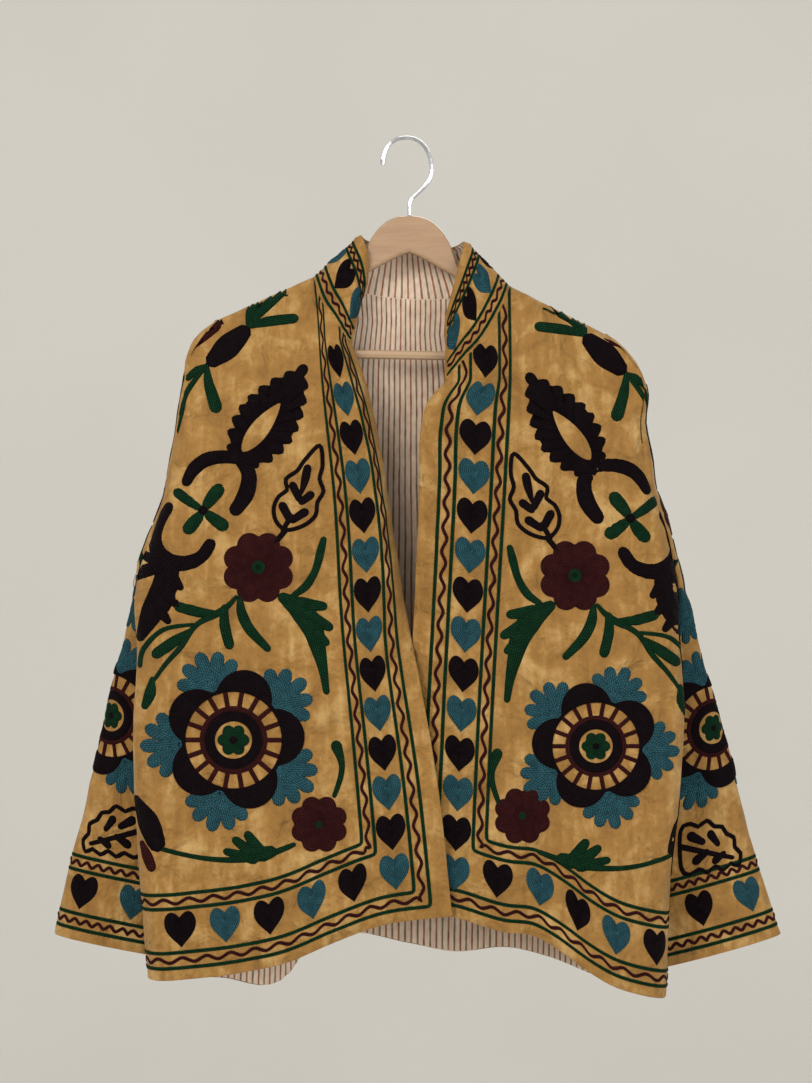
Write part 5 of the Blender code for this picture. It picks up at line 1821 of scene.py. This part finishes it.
YARNS = {
    Thread.AUBERGINE: YarnFinish("yarn_aubergine", (0.0042, 0.0019, 0.0027)),
    Thread.MAROON: YarnFinish("yarn_maroon", (0.024, 0.0045, 0.0048)),
    Thread.TEAL: YarnFinish("yarn_teal", (0.015, 0.053, 0.066)),
    Thread.GREEN: YarnFinish("yarn_green", (0.0028, 0.0185, 0.007)),
}


class Graph:
    """A material's node tree, with short calls for the nodes that the finishes share."""

    def __init__(self, name: str) -> None:
        """Starts a material with its Principled node."""
        self.material = bpy.data.materials.new(name)
        self.material.use_nodes = True
        self.nodes = self.material.node_tree.nodes
        self.links = self.material.node_tree.links
        self.body = self.nodes["Principled BSDF"]

    def put(self, kind: str, **inputs: object) -> bpy.types.Node:
        """Adds a node; inputs are values or other nodes' outputs, by socket name."""
        node = self.nodes.new(kind)
        for name, value in inputs.items():
            self.set(node.inputs[name.replace("_", " ")], value)
        return node

    def set(self, socket: bpy.types.NodeSocket, value: object) -> None:
        """Sets or links one input."""
        if isinstance(value, bpy.types.NodeSocket):
            self.links.new(value, socket)
        else:
            socket.default_value = value

    def surface(self, **inputs: object) -> bpy.types.Material:
        """Sets the Principled node's inputs and gives the material."""
        for name, value in inputs.items():
            self.set(self.body.inputs[name.replace("_", " ")], value)
        return self.material

    def math(self, operation: str, *values: object) -> bpy.types.NodeSocket:
        """A math node's result."""
        node = self.nodes.new("ShaderNodeMath")
        node.operation = operation
        for socket, value in zip(node.inputs, values):
            self.set(socket, value)
        return node.outputs[0]

    def mapped(self, name: str) -> Sequence[bpy.types.NodeSocket]:
        """The coordinates of a piece's own map."""
        source = self.nodes.new("ShaderNodeUVMap")
        source.uv_map = name
        return self.put("ShaderNodeSeparateXYZ", Vector=source.outputs[0]).outputs

    def place(self, scale: tuple[float, float, float] = (1, 1, 1)) -> bpy.types.NodeSocket:
        """Object coordinates, scaled."""
        source = self.nodes.new("ShaderNodeTexCoord").outputs["Object"]
        return self.put("ShaderNodeMapping", Vector=source, Scale=scale).outputs[0]

    def noise(self, where: bpy.types.NodeSocket, scale: float, detail: float = 2.0, bend: float = 0.0
              ) -> bpy.types.NodeSocket:
        """A noise pattern's strength."""
        inputs = {"Vector": where, "Scale": scale, "Detail": detail, "Distortion": bend}
        return self.put("ShaderNodeTexNoise", **inputs).outputs[0]

    def ramp(self, strength: bpy.types.NodeSocket, stops: Sequence[tuple[float, Colour]]
             ) -> bpy.types.NodeSocket:
        """A colour ramp's colour."""
        node = self.put("ShaderNodeValToRGB", Fac=strength)
        points = node.color_ramp.elements
        while len(points) < len(stops):
            points.new(0.5)
        for point, (position, colour) in zip(points, stops):
            point.position = position
            point.color = (*colour, 1.0)
        return node.outputs[0]

    def bump(self, height: bpy.types.NodeSocket, distance: float, below: bpy.types.NodeSocket | None = None,
             strength: float = 1.0) -> bpy.types.NodeSocket:
        """A bump node's normal, over another one's."""
        node = self.put("ShaderNodeBump", Height=height, Distance=distance, Strength=strength)
        if below is not None:
            self.links.new(below, node.inputs["Normal"])
        return node.outputs[0]


@functools.lru_cache(maxsize=None)
def velvet(finish: VelvetFinish) -> bpy.types.Material:
    """The velvet, its pile crushed in patches and faint streaks, with painted sheen and shade in them."""
    graph = Graph("velvet")
    patches = graph.noise(graph.place((1, 0.6, 1)), 26, 3, 0.9)
    streaks = graph.noise(graph.place((90, 60, 16)), 1, 3, 0.4)
    flecks = graph.noise(graph.place(), 170, 2, 0.6)
    mixed = graph.math("ADD", graph.math("MULTIPLY", patches, 0.5), graph.math("MULTIPLY", streaks, 0.34))
    mixed = graph.math("ADD", mixed, graph.math("MULTIPLY", flecks, 0.16))
    # Painted sheen and shade: the patches, streaks and flecks choose among the colours of shaded, upright
    # and lit pile
    colour = graph.ramp(mixed, ((0.33, finish.dark), (0.5, finish.mid), (0.66, finish.light)))
    wrinkles = graph.bump(graph.noise(graph.place(), 30, 3, 0.5), 0.015)
    pile = graph.bump(graph.noise(graph.place(), 700, 2), 0.0004, wrinkles)
    return graph.surface(
        Base_Color=colour, Roughness=finish.roughness, Sheen_Weight=finish.sheen, Sheen_Roughness=0.45,
        Sheen_Tint=(1.0, 0.82, 0.5, 1.0), Normal=graph.bump(mixed, 0.0045, pile),
    )


@functools.lru_cache(maxsize=None)
def lining() -> bpy.types.Material:
    """Cream cotton with thin brown stripes down the cloth."""
    graph = Graph("striped_lining")
    across = graph.mapped("cloth")[0]
    sway = graph.math("MULTIPLY", graph.math("SUBTRACT", graph.noise(graph.place(), 18), 0.5), 0.0016)
    where = graph.math("ADD", across, sway)
    stripe = graph.math("LESS_THAN", graph.math("FRACT", graph.math("DIVIDE", where, 0.006)), 0.31)
    other = graph.math("LESS_THAN", graph.math("FRACT", graph.math("DIVIDE", where, 0.012)), 0.5)
    worn = graph.noise(graph.place((1, 1, 0.3)), 320, 3)
    red = graph.ramp(worn, ((0.3, (0.17, 0.062, 0.025)), (0.7, (0.36, 0.17, 0.085))))
    olive = graph.ramp(worn, ((0.3, (0.12, 0.075, 0.035)), (0.7, (0.28, 0.19, 0.11))))
    cream = graph.ramp(worn, ((0.3, (0.53, 0.4, 0.3)), (0.7, (0.66, 0.53, 0.42))))
    threads = graph.put("ShaderNodeMix")
    threads.data_type = "RGBA"
    ground = graph.nodes.new("ShaderNodeMix")
    ground.data_type = "RGBA"
    for node, parts in ((threads, (other, red, olive)), (ground, (stripe, cream, threads.outputs[2]))):
        for index, part in zip((0, 6, 7), parts):
            graph.links.new(part, node.inputs[index])
    weave = graph.bump(graph.noise(graph.place((1, 1, 0.5)), 900, 2), 0.0003)
    normal = graph.bump(graph.noise(graph.place(), 55, 2), 0.003, weave)
    return graph.surface(Base_Color=ground.outputs[2], Roughness=0.9, Normal=normal)


@functools.lru_cache(maxsize=None)
def yarn(thread: Thread) -> bpy.types.Material:
    """Rows of chain stitches that follow a shape's outline, with painted shade in their valleys and painted
    highlight on their crests.
    """
    finish = YARNS[thread]
    graph = Graph(finish.name)
    parts = graph.mapped("stitches")
    row = graph.math("DIVIDE", parts[1], finish.row)
    offset = graph.math("MULTIPLY", graph.math("FLOOR", row), 0.37)
    step = graph.math("ADD", graph.math("DIVIDE", parts[0], finish.stitch), offset)
    rib = graph.math("ABSOLUTE", graph.math("SINE", graph.math("MULTIPLY", row, math.pi)))
    knot = graph.math("ABSOLUTE", graph.math("SINE", graph.math("MULTIPLY", step, math.pi)))
    depth = graph.math("ADD", 0.45, graph.math("MULTIPLY", knot, 0.55))
    relief = graph.math("MULTIPLY", graph.math("POWER", rib, 0.6), depth)
    worn = graph.noise(graph.place(), 140, 3, 0.5)
    # Painted shade and highlight: the stitch relief darkens the colour in the valleys between rows and
    # stitches and lightens it on their crests; the noise adds random wear
    relief_shading_and_wear = graph.math("ADD", graph.math("MULTIPLY", relief, 0.55), graph.math("MULTIPLY", worn, 0.45))
    base = np.array(finish.colour)
    stops = ((0.25, tuple(base * 0.42)), (0.6, tuple(base)), (0.85, tuple(base * 1.9 + 0.0015)))
    return graph.surface(
        Base_Color=graph.ramp(relief_shading_and_wear, stops), Roughness=0.55, Specular_IOR_Level=0.03,
        Normal=graph.bump(relief, 0.0007),
    )


@functools.lru_cache(maxsize=None)
def wood(finish: WoodFinish) -> bpy.types.Material:
    """Beech with its grain along the piece."""
    graph = Graph(finish.name)
    grain = graph.noise(graph.place((7, 90, 90)), 2.2, 4, 0.5)
    flecks = graph.noise(graph.place((60, 500, 500)), 1.2, 2)
    mixed = graph.math("ADD", graph.math("MULTIPLY", grain, 0.7), graph.math("MULTIPLY", flecks, 0.3))
    return graph.surface(
        Base_Color=graph.ramp(mixed, ((0.35, finish.dark), (0.6, finish.pale))), Roughness=finish.roughness,
        Coat_Weight=0.35, Coat_Roughness=0.25, Normal=graph.bump(mixed, 0.0004),
    )


@functools.lru_cache(maxsize=None)
def chrome() -> bpy.types.Material:
    """Plated wire, a little scuffed."""
    graph = Graph("plated_wire")
    worn = graph.noise(graph.place((1, 1, 0.2)), 260, 3)
    colour = graph.ramp(worn, ((0.3, (0.42, 0.43, 0.45)), (0.7, (0.6, 0.61, 0.63))))
    return graph.surface(Base_Color=colour, Metallic=1.0, Roughness=0.2)


@dataclass(frozen=True)
class Panel:
    """How one piece of cloth is finished."""

    node: str
    slot: str
    thickness: float
    flat: Pair
    area: float
    lined: bool = True
    striped: bool = False

    def build(self, cloth: Cloth) -> bpy.types.Object:
        """The cloth as a piece."""
        piece = cloth.mesh(self.thickness, self.lined)
        piece.name = self.node + "_cloth"
        piece.data.materials.append(lining() if self.striped else velvet(VelvetFinish()))
        if self.lined:
            piece.data.materials.append(lining())
        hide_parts(self.node)
        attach(piece, "root")
        wide, long, area = cloth.flat_size()
        LOG.info("%s: %.3f m wide, %.3f m long, %.4f m2 on its outer face", piece.name, wide, long, area)
        return piece


@dataclass
class Jacket:
    """The five cloth parts, the two linings and all embroidery."""

    cloths: dict[str, Cloth] = field(default_factory=dict)

    def cut(self) -> None:
        """Works out all outer faces and creases them."""
        made = (
            front_cloth(LEFT), front_cloth(RIGHT), back_cloth(),
            sleeve_cloth("sleeve_left", LEFT, LEFT_OUTLINE),
            sleeve_cloth("sleeve_right", RIGHT, RIGHT_OUTLINE),
            collar_cloth(),
        )
        for cloth in made:
            cloth.crease()
            self.cloths[cloth.name] = cloth
        back, collar = self.cloths["back"], self.cloths["collar"]
        self.cloths["back_lining"] = lining_cloth("back_lining", back, LINED_BACK)
        self.cloths["collar_lining"] = lining_cloth("collar_lining", collar, LINED_COLLAR)

    def sew(self) -> None:
        """Builds the cloth pieces."""
        for panel in PANELS:
            panel.build(self.cloths[panel.node])

    def embroider(self) -> None:
        """Builds the embroidery, one piece for each panel."""
        for name, layout in LAYOUTS.items():
            cloth, work = self.cloths[name], Needlework(name + "_embroidery")
            front_borders(work, cloth, layout.heart_lift)
            field_motifs(work, cloth.seen if name == "front_left" else turned_over(cloth.seen), layout)
            work.finish()
        for first, name in enumerate(("sleeve_left", "sleeve_right")):
            cloth, work = self.cloths[name], Needlework(name + "_embroidery")
            ring_borders(work, cloth, (0.0, float(cloth.along[-1] / MM)), 6, first)
            faces = (cloth.wrapped, functools.partial(cloth.wrapped, behind=True))
            sleeve_motifs(work, *(map(turned_sleeve, faces) if first else faces))
            work.finish()
        back, work = self.cloths["back"], Needlework("back_embroidery")
        ring_borders(work, back, (1.5, float(back.along[-1] / MM) - 1.5), 12)
        back_motifs(work, back)
        work.finish()
        work = Needlework("collar_embroidery")
        collar_motifs(work, self.cloths["collar"])
        work.finish()


# Soft lights: name, place, size, power and colour
LIGHTS = (
    ("key", (-1.5, -2.3, 1.1), 1.3, 56.0, (1.0, 0.97, 0.93)),
    ("fill", (2.1, -2.4, -0.2), 1.8, 34.0, (0.95, 0.97, 1.0)),
    ("rim", (0.6, 2.2, 1.3), 1.6, 22.0, (1.0, 0.98, 0.95)),
)


@dataclass(frozen=True)
class Stage:
    """Backdrop, lights and camera."""

    wall: Colour = (0.775, 0.76, 0.715)
    eye: tuple[float, float, float] = (-0.001, -2.6, -0.4015)
    lens: float = 86.4
    middle: tuple[float, float, float] = (0, 0, -0.42)
    plane: float = 22
    wall_y: float = 6
    floor_z: float = -2.4

    def build(self) -> None:
        """Adds them to the scene."""
        graph = Graph("backdrop")
        worn = graph.noise(graph.place(), 0.8, 2)
        pale = tuple(value * 1.03 for value in self.wall)
        material = graph.surface(
            Base_Color=graph.ramp(worn, ((0.4, self.wall), (0.6, pale))), Roughness=0.95
        )
        bpy.ops.object.select_all(action="DESELECT")
        upright = (math.pi / 2, 0, 0)
        bpy.ops.mesh.primitive_plane_add(size=self.plane, location=(0, self.wall_y, 0), rotation=upright)
        wall = bpy.context.object
        wall.name = "backdrop"
        bpy.ops.mesh.primitive_plane_add(size=self.plane, location=(0, 0, self.floor_z))
        floor = bpy.context.object
        floor.name = "floor"
        for plane in (wall, floor):
            plane.data.materials.append(material)
        world = bpy.data.worlds.new("room")
        world.use_nodes = True
        world.node_tree.nodes["Background"].inputs["Color"].default_value = (1.0, 0.98, 0.95, 1.0)
        world.node_tree.nodes["Background"].inputs["Strength"].default_value = 0.74
        bpy.context.scene.world = world
        for light in LIGHTS:
            self.light(*light)
        bpy.ops.object.camera_add(location=self.eye, rotation=upright)
        camera = bpy.context.object
        camera.data.sensor_fit = "AUTO"
        camera.data.sensor_width = 36
        camera.data.lens = self.lens
        bpy.context.scene.camera = camera
        bpy.context.scene.view_settings.view_transform = "Standard"

    def light(self, name: str, place: tuple[float, float, float], size: float, power: float, colour: Colour
              ) -> None:
        """Adds one soft light that faces the jacket."""
        bpy.ops.object.light_add(type="AREA", location=place)
        lamp = bpy.context.object
        lamp.name = name
        lamp.data.size = size
        lamp.data.energy = power
        lamp.data.color = colour
        lamp.rotation_euler = (Vector(self.middle) - Vector(place)).to_track_quat("-Z", "Y").to_euler()


def finish_hanger() -> None:
    """Gives the hanger's wood, bar and hook their materials."""
    bar = WoodFinish("bar_wood", (0.42, 0.28, 0.165), (0.36, 0.23, 0.13))
    materials = {"hanger_wood": wood(WoodFinish("beech")), "hanger_bar": wood(bar), "hanger_hook": chrome()}
    for node, material in materials.items():
        piece = bpy.data.objects[node]
        piece.data.materials.clear()
        piece.data.materials.append(material)


PANELS = (
    Panel("front_left", "velvet", VELVET, (0.335, 0.68), 0.176),
    Panel("front_right", "velvet", VELVET, (0.31, 0.686), 0.163),
    Panel("back", "velvet", VELVET, (0.616, 0.716), 0.361, lined=False),
    Panel("back_lining", "lining", LINING, (0.58, 0.7), 0.34, lined=False, striped=True),
    Panel("sleeve_left", "velvet", SLEEVE_CLOTH, (0.33, 0.67), 0.116),
    Panel("sleeve_right", "velvet", SLEEVE_CLOTH, (0.332, 0.67), 0.118),
    Panel("collar", "velvet", VELVET, (0.434, 0.073), 0.0186),
    Panel("collar_lining", "lining", LINING, (0.123, 0.052), 0.0061, lined=False, striped=True),
)


def main() -> None:
    """Builds everything on the frame."""
    logging.basicConfig(level=logging.INFO, format="%(message)s")
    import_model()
    Stage().build()
    finish_hanger()
    jacket = Jacket()
    jacket.cut()
    jacket.sew()
    jacket.embroider()


if __name__ == "__main__":
    main()
